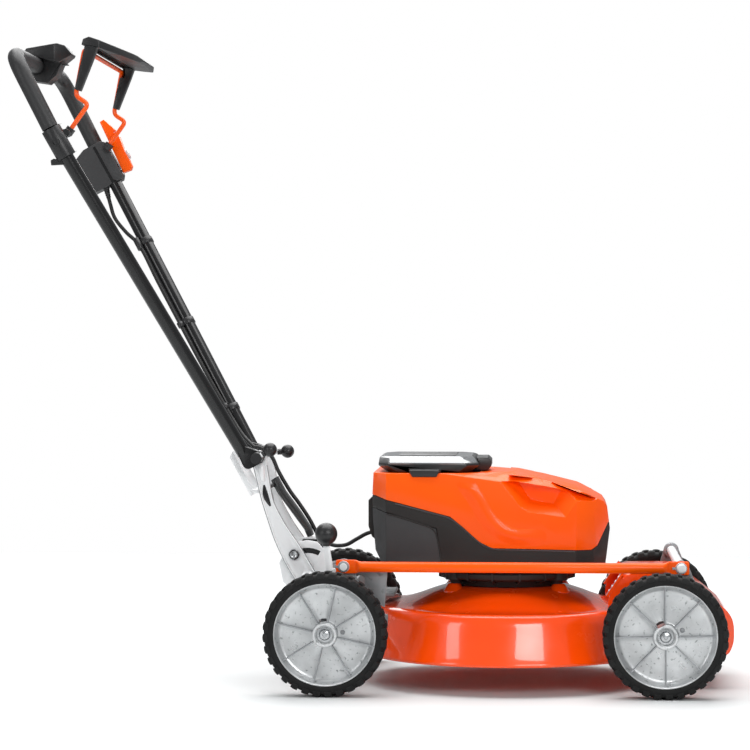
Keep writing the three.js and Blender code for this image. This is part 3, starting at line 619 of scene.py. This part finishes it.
def add_wheels():
    turns = {"front": radians(1), "rear": radians(-13)}
    axles = {"front": FRONT_AXLE, "rear": REAR_AXLE}
    for end, axle_at in axles.items():
        for side, out in SIDES.items():
            name = f"{end}_{side}"
            centre = (axle_at.x, out * WHEEL_Y, axle_at.z)
            piece(f"{name}_tyre_tread", tyre(centre), "tyre", f"{name}_wheel", f"{name}_tyre")
            turn = turns[end] if out == RIGHT else pi - turns[end]
            wheel = piece(f"{name}_rim_cast", rim(centre, out), "wheel_silver",
                          f"{name}_wheel", f"{name}_rim")
            angle = turns[end] + radians(112)
            window = [(centre[0] + r * cos(angle + a), centre[2] + r * sin(angle + a))
                      for r, a in ((20.2, -0.32), (26.5, -0.25), (27, 0), (26.5, 0.25), (20.2, 0.32))]
            carve(wheel, extruded(window, centre[1] - 30, centre[1] + 30))
            # The ribs take the darker cast grey instead of the rim's silver: painted shade for the dark
            # lines along the spokes. The cast spot shares it.
            piece(f"{name}_rim_ribs", rim_ribs(centre, out, turn), "cast_grey", f"{name}_wheel")
        shaft = [(0, -260.2), (3.0, -260.2), (3.6, -259.2), (7.6, -258.0), (9.6, -255.4), (9.9, -253.4),
                 (12.4, -253.2), (12.4, -252.2), (8.0, -252.2)]
        profile = shaft + [(r, -y) for r, y in reversed(shaft)]
        body = "front_carriage" if end == "front" else "rear_carriage"
        piece(f"{end}_axle_turned", lathe(profile, (axle_at.x, 0, axle_at.z), "Y", 40), "steel",
              body, f"{end}_axle")


# ---- deck and frames ----
def step(value, low, high):
    """0 below low, 1 above high, smooth between."""
    t = min(1.0, max(0.0, (value - low) / (high - low)))
    return t * t * (3 - 2 * t)


DECK_TOP = 170.3
DECK_OUTER = [(18, DECK_TOP), (60, DECK_TOP), (97, DECK_TOP), (102, 169.2), (112, 166.3),
              (125, 162.3), (138, 157.9), (150, 153.2), (163, 148.8), (176, 144.9), (189, 141.4),
              (200, 139.2), (210, 137.8), (217, 137.0), (222.5, 136.0), (226.6, 134.0),
              (229.4, 130.8), (230.6, 127.4), (232.6, 124.0), (234.6, 116), (237.4, 104),
              (241.4, 90), (246, 76), (250.4, 64.5), (253.4, 57), (254.8, 54.2), (254.4, 53.2)]


def deck_surface(radius, height, angle):
    """Sinks a shallow panel into each side of the crown."""
    window = step(abs(sin(angle)), 0.66, 0.80)
    band = step(radius, 122, 136) * (1 - step(radius, 206, 216))
    return height - 4.2 * window * band


def add_deck():
    steps = 144
    bm = bmesh.new()
    inner = [(r - 2.6, z - 2.4) for r, z in reversed(DECK_OUTER[1:])] + [(18, DECK_TOP - 2.6)]
    rings = []
    for radius, height in DECK_OUTER + inner:
        ring = []
        for i in range(steps):
            angle = 2 * pi * i / steps
            z = deck_surface(radius, height, angle)
            ring.append(bm.verts.new(at(radius * cos(angle), radius * sin(angle), z)))
        rings.append(ring)
    piece("deck_shell", skin(bm, rings + rings[:1], capped=False), "deck_orange", "chassis", "deck",
          sharp=50)
    for i, angle in enumerate((36, 144, 216, 324)):
        x, y = 112 * cos(radians(angle)), 112 * sin(radians(angle))
        seat = [(0, 175.6), (9, 175.6), (11, 174.6), (19, 163), (19, 158), (0, 158)]
        piece(f"deck_seat_{i}", lathe(seat, (x, y, 0), "Z", 32), "deck_orange", "chassis")


HOUSING_SIDE = [(175, 62), (175, 158), (203, 199), (292, 200), (329, 175.5), (357, 154), (377, 137),
                (387, 123.5), (390, 108), (390, 84), (385, 68), (377, 57), (362, 57)]


def add_front_housing():
    half = 122
    outline = rounded(HOUSING_SIDE, 11, 5, closed=True)
    bm = extruded(outline, -half, half)
    rims = [e for e in bm.edges if abs(abs(e.verts[0].co.y) - half * MM) < 1e-6
            and abs(e.verts[0].co.y - e.verts[1].co.y) < 1e-6]
    bmesh.ops.bevel(bm, geom=rims, offset=4 * MM, offset_type="OFFSET", segments=4, profile=0.5,
                    affect="EDGES", clamp_overlap=False)
    shell = piece("front_housing_shell", bm, "deck_orange", "chassis", "front_housing")
    inside = [(150, 40), (150, 150), (204.5, 196), (291, 197), (327.2, 172.4), (355, 151.4),
              (374.6, 134.7), (384.2, 122), (387, 107.5), (387, 84.6), (382.3, 69.4), (374, 58), (362, 40)]
    hollow = extruded(inside, -half + 3, half - 3)
    crown = [(0, 40), (256, 40), (256, 53)] + [(r + 0.6, z + 0.4) for r, z in reversed(DECK_OUTER[2:])]
    deck_room = lathe(crown + [(0, DECK_TOP + 0.4)], (0, 0, 0), "Z", 96)
    slots = [extruded([(250, 40), (286, 40), (286, 146), (280, 152), (256, 152), (250, 146)], *reach)
             for reach in ((-half - 8, -half + 8), (half - 8, half + 8))]
    carve(shell, hollow, deck_room, *slots)
    shell.data.shade_smooth()
    shell.data.set_sharp_from_angle(angle=radians(30))
    pivot = (FRONT_AXLE.x + CRANK_PIVOT[0], FRONT_AXLE.z + CRANK_PIVOT[1])
    for side, out in SIDES.items():
        boss = [(0, 194.6), (5.6, 194.6), (7, 193.4), (7, 188), (12.8, 188), (14, 186.8), (14, 128),
                (15.4, 123), (17, 121), (0, 121)]
        piece(f"front_crank_boss_{side}", side_lathe(boss, out, pivot, 32), "deck_orange", "chassis")
        # Turned-up flange along the sloping rear edge, held by four small screws.
        low, high = Vector((175, 158)), Vector((202, 198))
        along = (high - low).normalized()
        normal = Vector((-along.y, along.x))
        strip = [low, high, high + normal * 4.4, low + normal * 4.4]
        y0, y1 = sorted((out * 122.3, out * 108))
        flange = bevelled(extruded([tuple(p) for p in strip], y0, y1), 0.8)
        piece(f"front_housing_flange_{side}", flange, "deck_orange", "chassis")
        heads = []
        for k in range(4):
            foot = low.lerp(high, 0.2 + 0.2 * k) + normal * 4.2
            heads.append(screw((foot.x, out * 116, foot.y), Vector((normal.x, 0, normal.y)), 2.4, 1.6))
        piece(f"front_housing_screws_{side}", joined(*heads), "silver", "chassis")


def add_frames():
    refined("rear_frame", 1.6, 3)
    refined("lever_sector", 0.9)
    refined("spindle_bearing", 0.5)
    for side in SIDES:
        refined(f"handle_bracket_{side}", 0.8, 2, 40)
        # Dark plate behind the bracket's slot, carried by the lock bolt: painted shade, seen as the black
        # inside of the slot.
        y0, y1 = sorted((SIDES[side] * 46.2, SIDES[side] * 48.6))
        pad = extruded([(-366, 220), (-326, 220), (-326, 242), (-366, 242)], y0, y1)
        piece(f"slot_shade_pad_{side}", bevelled(pad, 0.6), "tube_black", "handle_base")
        refined(f"front_{side}_crank", 0.9, 2, 40)
        refined(f"rear_{side}_crank", 0.9, 2, 40)
    x, z = FRONT_PIN_X, PIN_Z
    shaft = [(0, -208), (6.4, -208), (8, -206.8), (8, 196.6), (6.8, 198), (0, 198)]
    piece("cross_shaft_turned", lathe(shaft, (x, 0, z), "Y", 40), "silver", "front_carriage",
          "front_cross_shaft")
    boss = [(8.2, 178), (12.5, 178), (13.5, 179.5), (13.5, 188.4), (8.2, 188.4)]
    piece("cross_shaft_boss", lathe(boss, (x, 0, z), "Y", 36), "cast_grey", "front_carriage")


# ---- link rod and height lever ----
def add_link_rod():
    """A round bar drawn out into a flat, rounded eye at each end."""
    bm = bmesh.new()
    rod_y, eye_y = -204.0, -197.7
    rear, front = REAR_PIN_X, FRONT_PIN_X
    stations = [(-13.4, 8.6, 2.6, 0.0, 7.0), (-13.0, 9.9, 3.0, 0.0, 7.0), (-12.0, 11.0, 3.2, 0.0, 7.0),
                (-10.4, 11.5, 3.2, 0.0, 7.0), (6, 11.5, 3.2, 0.0, 7.0), (18.6, 11.5, 3.3, 0.05, 6.0),
                (21.4, 11.2, 4.0, 0.2, 5.0), (23.4, 10.4, 5.6, 0.5, 3.4), (26, 9.5, 7.6, 0.8, 2.4),
                (31, 9.0, 9.0, 1.0, 2.0)]
    line = [(rear + u, h, w, rod_y * s + eye_y * (1 - s), p) for u, h, w, s, p in stations]
    line += [(front - u, h, w, rod_y * s + eye_y * (1 - s), p) for u, h, w, s, p in reversed(stations)]
    steps = 32
    rings = []
    for x, high, wide, y, power in line:
        ring = []
        for i in range(steps):
            a = 2 * pi * i / steps
            c, s = cos(a), sin(a)
            u = abs(c) ** (2 / power) * (1 if c >= 0 else -1)
            v = abs(s) ** (2 / power) * (1 if s >= 0 else -1)
            ring.append(bm.verts.new(at(x, y + wide * u, PIN_Z + high * v)))
        rings.append(ring)
    bar = piece("link_rod_bar", skin(bm, rings), "cover_orange", "link_rod", "link_rod", sharp=45)
    holes = [lathe([(0, -215), (8.7, -215), (8.7, -190), (0, -190)], (x, 0, PIN_Z), "Y", 32)
             for x in (rear, front)]
    carve(bar, *holes)
    for end, x, body in (("rear", rear, "rear_carriage"), ("front", front, "front_carriage")):
        head = [(0, 208.6), (5.6, 208.6), (7.6, 207.2), (8.1, 205.2), (8.1, 194), (0, 194)]
        washer = [(7.6, 202.8), (9.4, 202.8), (9.8, 202.3), (9.8, 201.0), (7.6, 201.0)]
        clip = [(7.4, 204.4), (9.6, 204.4), (9.6, 203.2), (7.4, 203.2)]
        pin = [side_lathe(profile, RIGHT, (x, PIN_Z), 36) for profile in (head, washer)]
        tail = box((x - 15, -204.4, PIN_Z - 2), (x - 8, -203.2, PIN_Z + 2))
        clip = joined(side_lathe(clip, RIGHT, (x, PIN_Z), 32), bevelled(tail, 0.4))
        piece(f"link_pin_{end}", joined(*pin), "silver", body)
        piece(f"link_clip_{end}", clip, "steel", body)


def add_height_lever():
    refined("height_lever", 0.9, 2, 35)
    centre = Vector((-304, -196, 270))
    stem = lathe([(0, -20.5), (6.0, -20.5), (7.0, -19.5), (7.4, -15), (0, -14)], centre, "Z", 32)
    piece("height_knob_ball", joined(ball(centre, 19, 48), stem), "black_plastic", "rear_carriage",
          "height_knob")
    pin = [(0, -203.4), (3.2, -203.4), (4.2, -202.4), (4.2, -197), (0, -197)]
    piece("height_lever_pin", lathe(pin, (-291, 0, 208), "Y", 24), "silver", "rear_carriage")


# ---- motor and blade ----
def add_motor():
    profile = [(22, 170.8), (92, 170.8), (93, 171.4), (94, 176), (96, 181), (100, 181.8), (108, 182.2),
               (116, 183.4), (119.6, 186), (120, 188), (120, 194), (118, 195.6), (100, 196.6),
               (97.6, 197.6), (97, 210.4), (66, 210.4), (66, 215), (22, 215)]
    parts = [lathe(profile, (0, 0, 0), "Z", 96)]
    for i in range(16):
        angle = 2 * pi * (i + 0.5) / 16
        c, s = cos(angle), sin(angle)
        foot = []
        for radius, z in ((92, 176), (92, 184), (121.6, 196.4), (121.6, 183.6), (104, 178.4)):
            for side in (-1.6, 1.6):
                foot.append((radius * c - side * s, radius * s + side * c, z))
        parts.append(hull(foot))
    for angle in (36, 144, 216, 324):
        x, y = 108 * cos(radians(angle)), 108 * sin(radians(angle))
        boss = [(0, 173.6), (6, 173.6), (9.4, 174.8), (10.4, 180), (13, 184), (13.6, 195), (12.4, 196.6),
                (0, 196.6)]
        parts.append(lathe(boss, (x, y, 0), "Z", 32))
        parts.append(lathe([(0, 182), (16.6, 182), (17.4, 183), (17.4, 195), (16, 196.4), (0, 196.4)],
                           (x * 1.02, y * 1.02, 0), "Z", 32))
    piece("motor_flange_cast", joined(*parts), "charcoal", "chassis", "motor_flange")
    for node in ("blade", "blade_adapter", "blade_bolt", "spindle", "motor_rotor", "motor_stator"):
        refined(node, 0.8, 2, 40)


# ---- motor housing ----
CREASE = rounded([(-60, 372), (-54, 358), (-34, 331), (-23, 308), (-9, 289), (14, 277), (62, 275),
                  (96, 276)], 20, 4)


def beyond_crease(x, z):
    """Distance from the crease in the cover's side; positive on its upper, forward side."""
    best, sign = 1e9, 1
    for (x0, z0), (x1, z1) in zip(CREASE, CREASE[1:]):
        run, rise = x1 - x0, z1 - z0
        t = min(1, max(0, ((x - x0) * run + (z - z0) * rise) / (run * run + rise * rise)))
        gap = sqrt((x - x0 - t * run) ** 2 + (z - z0 - t * rise) ** 2)
        if gap < best:
            best, sign = gap, 1 if (z - z0) * run - (x - x0) * rise > 0 else -1
    return best * sign


SEAM = [(-224, 333), (-206, 324), (-190, 320), (-96, 296), (-75, 279), (-46, 253), (-24, 242),
        (150, 239.2)]


def seam_height(x):
    """Height of the cover's lower edge at x."""
    for (x0, z0), (x1, z1) in zip(SEAM, SEAM[1:]):
        if x0 <= x <= x1:
            return z0 + (z1 - z0) * (x - x0) / (x1 - x0)
    return SEAM[-1][1]


def swelling(x, z):
    """How far the side stands out behind and below the crease."""
    behind = -beyond_crease(x, z)
    if behind < 0:
        return -0.5
    rise = 1 - (1 - min(1.0, behind / 15)) ** 2
    fade = (1 - step(behind, 14, 34)) * (1 - step(x, 8, 78)) * (1 - step(z, 342, 358))
    return 3.6 * rise * fade - 0.14


def crease_relief():
    """The soft swelling of the cover's right side, as a thin closed skin over the flat side."""
    bm = bmesh.new()
    columns, rows = 88, 62
    x0, z0, pitch_x, pitch_z = -86, 243, 2.0, 1.9
    points = {}

    def corner(i, k, back):
        if (i, k, back) not in points:
            x, z = x0 + pitch_x * i, z0 + pitch_z * k
            depth = 0.9 if back else -swelling(x, z)
            points[i, k, back] = bm.verts.new(at(x, -COVER_HALF + depth, z))
        return points[i, k, back]

    cells = set()
    for i in range(columns):
        for k in range(rows):
            x, z = x0 + pitch_x * (i + 0.5), z0 + pitch_z * (k + 0.5)
            if swelling(x, z) > -0.12 and z > seam_height(x) + 4:
                cells.add((i, k))
    for i, k in cells:
        ring = [(i, k), (i + 1, k), (i + 1, k + 1), (i, k + 1)]
        bm.faces.new([corner(*c, False) for c in ring])
        bm.faces.new([corner(*c, True) for c in ring[::-1]])
        for side, beyond in enumerate(((i, k - 1), (i + 1, k), (i, k + 1), (i - 1, k))):
            if beyond not in cells:
                p, q = ring[side], ring[(side + 1) % 4]
                bm.faces.new([corner(*q, False), corner(*p, False), corner(*p, True), corner(*q, True)])
    return bm


def both_sides(name, build, look, body, sharp=32):
    """A right-hand piece and its mirror image."""
    right = build()
    left = mirrored(right)
    piece(f"{name}_right", right, look, body, sharp=sharp)
    piece(f"{name}_left", left, look, body, sharp=sharp)


def add_housing():
    refined("motor_cover", 0.9, 2, 28)
    refined("housing_base", 1.6, 2, 22)
    refined("housing_rear_panel", 1.6, 2, 22)
    refined("battery_lid", 1.6, 2, 22)
    both_sides("cover_crease", crease_relief, "cover_orange", "chassis", sharp=60)

    # The base's lip along the cover's lower edge, in a lighter grey than the charcoal base: a painted
    # highlight on that edge.
    def seam_highlight_bead():
        line = rounded([(min(x, 118), z - 2.2) for x, z in SEAM[2:]], 22, 6)
        return sweep([(x, -COVER_HALF - 0.1, z) for x, z in line], 1.5, 12)

    def lower_step():
        line = rounded([(-205, 300), (-190, 297), (-121, 275), (-109, 214)], 14, 6)
        return sweep([(x, -COVER_HALF + 0.1, z) for x, z in line], 1.3, 12)

    both_sides("seam_highlight_bead", seam_highlight_bead, "dark_grey", "chassis", sharp=50)
    both_sides("panel_bead", lower_step, "charcoal", "chassis", sharp=50)

    # The lid's glossy top, laid over the sloping sides and the flat middle.
    x0, x1, half, low, high = -222, -48, 112, 385.4, 397

    def ring(z, rear, front, inset):
        y = half - inset
        corners = [(x0 + rear, y - 30), (x0 + rear + 18, y), (x1 - front - 20, y), (x1 - front, y - 26)]
        return [(x, side * w, z) for x, w in corners for side in (-1, 1)]

    cap = hull(ring(low - 1, 3, 3, -0.2) + ring(low + 2, 3, 3, -0.2) + ring(high - 1.6, 3, 8, 14.8)
               + ring(high + 0.3, 7, 13, 21.4))
    piece("battery_lid_gloss", bevelled(cap, 1.0, 2, 12), "lid_gloss", "battery_lid")
    groove = [(x0 + 34, y, high + 0.3) for y in (-70, 70)] + [(x1 - 40, y, high + 0.3) for y in (-70, 70)]
    panel = hull(groove + [(x, y, high + 1.1) for x, y, z in groove])
    piece("battery_lid_panel", bevelled(panel, 0.5), "black_plastic", "battery_lid")

    # Vertical air louvres across the rear face.
    fin = [(-226, 250), (-234, 257), (-240, 275), (-240, 320), (-233, 327), (-226, 327)]
    louvres = []
    for k in range(9):
        y = -72 + 18 * k
        louvres.append(bevelled(extruded(fin, y - 2, y + 2), 0.8))
    piece("rear_louvres", joined(*louvres), "charcoal", "chassis")
    grommet = [(0, 0), (5.4, 0), (6.4, -1), (6.4, -3), (5.2, -4.4), (5.2, -9), (3.8, -10.5), (0, -10.5)]
    piece("cable_grommet", lathe(grommet, (-226, 0, 262.4), Vector((1, 0, 0.25)), 28), "black_plastic",
          "chassis")


# ---- handle ----
def lerp(a, b, t):
    return Vector(a).lerp(Vector(b), t)


def flip(point, out):
    """A point of the left side, moved to the given side."""
    return Vector((point[0], point[1] * out, point[2]))


def bulging(line, ends, more):
    """A bar's radii along a line, thickest at its middle."""
    return [ends + more * sin(pi * k / (len(line) - 1)) for k in range(len(line))]


def add_handle_base():
    for side, out in SIDES.items():
        refined(f"handle_arm_{side}", 1.0, 2, 40)
        # Folded edges down both sides of the arm, and the pressed rib of its neck.
        front_edge = [(-419, 380), (-410, 327), (-403, 306), (-389, 280), (-379, 264), (-361, 238),
                      (-334, 192)]
        rear_edge = [(-444, 384), (-436, 352), (-428, 319), (-417, 284), (-405, 249), (-387, 210),
                     (-368, 178)]
        ridges = []
        for line, inset in ((front_edge, -1.6), (rear_edge, 1.6)):
            ridges.append(sweep(smooth_path([(x + inset, out * 61.2, z) for x, z in line], 4), 1.5, 10))
        neck = smooth_path([(-432, out * 61, 388), (-428, out * 62, 372), (-425, out * 61, 352)], 5)
        ridges.append(sweep(neck, bulging(neck, 3.5, 2.2), 16))
        piece(f"arm_ridges_{side}", joined(*ridges), "silver", "handle_base", sharp=50)
        # The folded edges take the darker cast grey: painted shade for the thin dark lines along the
        # silver arm's turned edges.
        folds = [sweep(smooth_path([(x, out * 61, z) for x, z in line], 4), 1.1, 10)
                 for line in (front_edge, rear_edge)]
        piece(f"arm_folds_{side}", joined(*folds), "cast_grey", "handle_base", sharp=50)
        # A dark flattened patch below the neck: painted shade for the dark hole there.
        hollow = smooth_path([(x, out * 61.2, z) for x, z in ((-424, 345), (-421, 326), (-413, 308))], 5)
        hollow = sweep(hollow, bulging(hollow, 1.6, 3.2), 16, flat=0.3)
        piece(f"arm_hollow_shade_{side}", hollow, "tube_black", "handle_base", sharp=50)
        ring = [(4.6, 66.2), (8.2, 66.2), (9.6, 65.4), (9.8, 61), (4.6, 61)]
        piece(f"lock_ring_{side}", side_lathe(ring, out, LOCK_BOLT, 36), "tube_black", "handle_base")
        head = [(0, 66.2), (3.2, 66.2), (5.2, 67.4), (6.4, 67.2), (6.9, 66), (6.9, 64), (0, 64)]
        piece(f"lock_bolt_cap_{side}", side_lathe(head, out, LOCK_BOLT, 36), "steel", "handle_base")
        end = [(0, 64.6), (4.4, 64.6), (6.6, 63.4), (9.4, 62.6), (9.8, 61.2), (0, 61.2)]
        piece(f"tilt_washer_{side}", side_lathe(end, out, TILT_PIVOT, 32), "silver", "handle_base")
    refined("handle_back_plate", 1.0)
    refined("cable_guard", 1.2)
    refined("tilt_pivot_shaft", 1.0, 2, 50)
    refined("angle_lock_bolt", 1.0, 2, 50)
    refined("fold_shaft", 1.0, 2, 50)
    # Raised rib along the plastic guard.
    rib = smooth_path([(-410, -14, 350), (-396, -15, 322), (-372, -15, 290), (-352, -13.4, 262)], 6)
    piece("guard_rib", sweep(rib, 3.0, 14), "black_plastic", "handle_base", sharp=50)


TUBE_SLOPE = (GRIP_LOW - TUBE_HIGH).normalized()


def beside_tube(along, ahead, y):
    """A point given by its distance up the tube's side view and square to it, forwards."""
    length = sqrt(TUBE_SLOPE.x ** 2 + TUBE_SLOPE.z ** 2)
    run, rise = TUBE_SLOPE.x / length, TUBE_SLOPE.z / length
    return Vector((TUBE_HIGH.x + run * along + rise * ahead, y, TUBE_HIGH.z + rise * along - run * ahead))


def add_switch_details():
    # Parting groove of the box, its lamp and the cable's strain relief.
    groove = hull([beside_tube(u, n, y) for u in (-26, 51) for n in (-4, 1) for y in (211.4, 254.4)])
    piece("switch_box_seam", groove, "tube_black", "handle_top")
    face = [beside_tube(u, n, 211.7) for u, n in ((-18, 5), (44, 5), (44, 16), (-14, 16))]
    panel = hull(face + [point + Vector((0, 0.9, 0)) for point in face])
    piece("switch_box_panel", bevelled(panel, 0.3), "dark_grey", "handle_top")
    lamp = lathe([(0, 4.4), (3.4, 3.6), (5.2, 1.6), (5.6, -1), (0, -1)], beside_tube(-12, 21, 233),
                 Vector((0.87, 0, 0.5)), 28)
    piece("switch_lamp", lamp, "lens", "handle_top")
    dial = lathe([(0, 3.2), (6, 3.0), (9.5, 2.0), (10.5, 0), (10.5, -2), (0, -2)],
                 beside_tube(12, 45, 233), Vector((0.87, 0, 0.5)), 32)
    piece("lever_dial", dial, "lens", "start_lever")
    boot = smooth_path([beside_tube(-23, -18, 222), (-745, 222, 872), (-741.6, 219.1, 860.4)], 8)
    radii = [6.4 - 0.13 * k - (0.7 if k % 3 == 2 else 0) for k in range(len(boot))]
    piece("strain_relief", sweep(boot, radii, 24), "black_plastic", "handle_top", sharp=50)


def add_handle_top():
    for side, out in SIDES.items():
        low, high = flip(TUBE_LOW, out), flip(TUBE_HIGH, out)
        foot = bevelled(cad_mesh(f"handle_tube_{side}"), 0.6, 1, 60)
        tube = sweep([low, lerp(low, high, 0.5), high], TUBE_R + 0.05, 48)
        piece(f"handle_tube_{side}_drawn", joined(tube, foot), "tube_black", "handle_top",
              f"handle_tube_{side}")
        ferrule = sweep([(-744, out * BAIL_Y, 950), (-737, out * BAIL_Y, 959.5)], 8.2, 8)
        piece(f"bail_ferrule_{side}", bevelled(ferrule, 1.2, 2, 30), "black_plastic", "bail")
        pivot = [(0, 203.6), (5.4, 203.6), (6, 204.4), (6, 211.6), (0, 211.6)]
        piece(f"bail_pivot_{side}", side_lathe(pivot, out, BAIL_PIVOT, 28), "black_plastic", "bail")
    route = rounded([flip(GRIP_LOW, RIGHT), flip(BAR_CORNER, RIGHT), BAR_CORNER, GRIP_LOW], 44, 14)
    piece("grip_bar_moulded", sweep(route, GRIP_R, 40), "foam_grip", "handle_top", "grip_bar", sharp=40)
    refined("coupling_sleeve", 1.1, 2, 60)
    hole = beside_tube(27, -1, 0)
    # A dark ring round the sleeve's screw: painted shade for the recess the screw sits in.
    ring = [(2.6, 248.4), (4.8, 248.4), (5.6, 249.6), (6.2, 249.2), (6.4, 247), (2.6, 246)]
    piece("sleeve_screw_shade_ring", side_lathe(ring, RIGHT, (hole.x, hole.z), 32), "tube_black", "handle_top")
    cap = [(0, 248.2), (2.2, 248.2), (3.2, 247.6), (0, 246)]
    piece("sleeve_screw", side_lathe(cap, RIGHT, (hole.x + 0.6, hole.z), 24), "steel", "handle_top")
    hook = [(-767, 895), (-768, 903), (-763, 906), (-746, 904), (-746, 896)]
    piece("cable_hook", bevelled(extruded(hook, -236, -226), 0.8, 1), "black_plastic", "handle_top")
    refined("switch_box", 1.6, 2, 25)
    add_switch_details()
    refined("start_lever", 1.0, 2, 40)
    refined("console", 1.2, 2, 30)
    refined("power_button", 0.8)
    slot = box((-793, -11, 1085.6), (-779, 11, 1087.2))
    piece("console_slot", slot, "tube_black", "handle_top")
    refined("bail_cover", 1.6, 2, 25)
    for side, out in SIDES.items():
        refined(f"clamp_lever_{side}", 0.4, 1, 50)
    for side, out, end in (("right", RIGHT, (-408, 409)), ("left", LEFT, (-399, 396))):
        foot = Vector((FOLD_PIVOT[0], out * 111, FOLD_PIVOT[1]))
        tip = Vector((end[0], out * 113, end[1]))
        rod_line = sweep([foot.lerp(tip, 0.1), foot.lerp(tip, 0.9)], 4.3, 20)
        piece(f"clamp_rod_{side}", rod_line, "silver", f"clamp_lever_{side}")
        piece(f"clamp_ball_{side}", ball(tip, 12.1, 40), "black_plastic", f"clamp_lever_{side}")
        collar = sweep([foot.lerp(tip, 0.45), foot.lerp(tip, 0.7)], 5.4, 20)
        piece(f"clamp_collar_{side}", bevelled(collar, 0.6, 1, 40), "black_plastic",
              f"clamp_lever_{side}")
    leg = [(-741, 954), (-708, 1000), (-730, 1014), (-715, 1092)]
    wire = [(x, -BAIL_Y, z) for x, z in leg] + [(x, BAIL_Y, z) for x, z in reversed(leg)]
    piece("bail_wire", sweep(rounded(wire, 9, 8), 4, 20), "orange_wire", "bail", "bail", sharp=50)


CLIPS = (0.26, 0.55, 0.855)


def add_clips(route):
    """Bands that hold the cable to the left tube; the highest has a longer holder."""
    axis = (TUBE_LOW - TUBE_HIGH).normalized()

    def band(centre, inner, outer, half):
        return lathe([(inner, -half), (outer - 0.4, -half), (outer, 0.4 - half), (outer, half - 0.4),
                      (outer - 0.4, half), (inner, half)], centre, axis, 40)

    for i, share in enumerate(CLIPS):
        centre = TUBE_HIGH.lerp(TUBE_LOW, share)
        held = min(route, key=lambda point: abs((point - centre).dot(axis)))
        out = (held - centre - axis * (held - centre).dot(axis)).normalized()
        half = 12 if i == 0 else 5
        clip = joined(band(centre, TUBE_R + 0.1, TUBE_R + 1.8, 6),
                      band(held, CABLE_R + 0.1, CABLE_R + 2.4, half),
                      sweep([centre + out * (TUBE_R + 1), held - out * (CABLE_R + 1)], 3.4, 14))
        piece(f"cable_clip_{i}", clip, "black_plastic", "handle_top", sharp=50)


def add_cables():
    upper = [(-745, 222, 872), (-738, 216, 848), (-728, 206, 822), (-706, 196, 796), (-676, 174, 768),
             (-640, 155, 702), (-596, 131, 625), (-550, 107, 545), (-504, 82, 470), (-476, 58, 430),
             (-452, 30, 408)]
    lower = [(-330, 11, 244), (-318, 10, 238), (-303, 8, 234), (-284, 6, 236), (-266, 4, 246),
             (-248, 2, 256), (-230.5, 0, 261)]
    route = smooth_path(upper)
    add_clips(route)
    piece("upper_cable_sheath", sweep(route, CABLE_R, 14), "cable", "handle_top", "upper_cable", sharp=60)
    piece("lower_cable_sheath", sweep(smooth_path(lower), CABLE_R, 14), "cable", "chassis",
          "lower_cable", sharp=60)
    # The stretches of cable where the handle folds and where it tilts.
    over_fold = [upper[-1], (-437, 26, 405), (-419, 22, 391), (-408, 19, 368), (-398, 17, 350)]
    past_guard = [over_fold[-1], (-384, 15, 328), (-369, 14, 308), (-351, 13, 281), (-338, 12, 257),
                  lower[0]]
    bend = piece("cable_at_fold", sweep(smooth_path(over_fold), CABLE_R, 14), "cable", None, sharp=60)
    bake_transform(bend)
    bend = piece("cable_at_tilt", sweep(smooth_path(past_guard), CABLE_R, 14), "cable", None, sharp=60)
    at(*past_guard[2])
    at(*past_guard[-1])
    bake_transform(bend)


add_camera()
add_stage()
add_lights()
paint_nodes()
add_wheels()
add_deck()
add_front_housing()
add_frames()
add_link_rod()
add_height_lever()
add_motor()
add_housing()
add_handle_base()
add_handle_top()
add_cables()
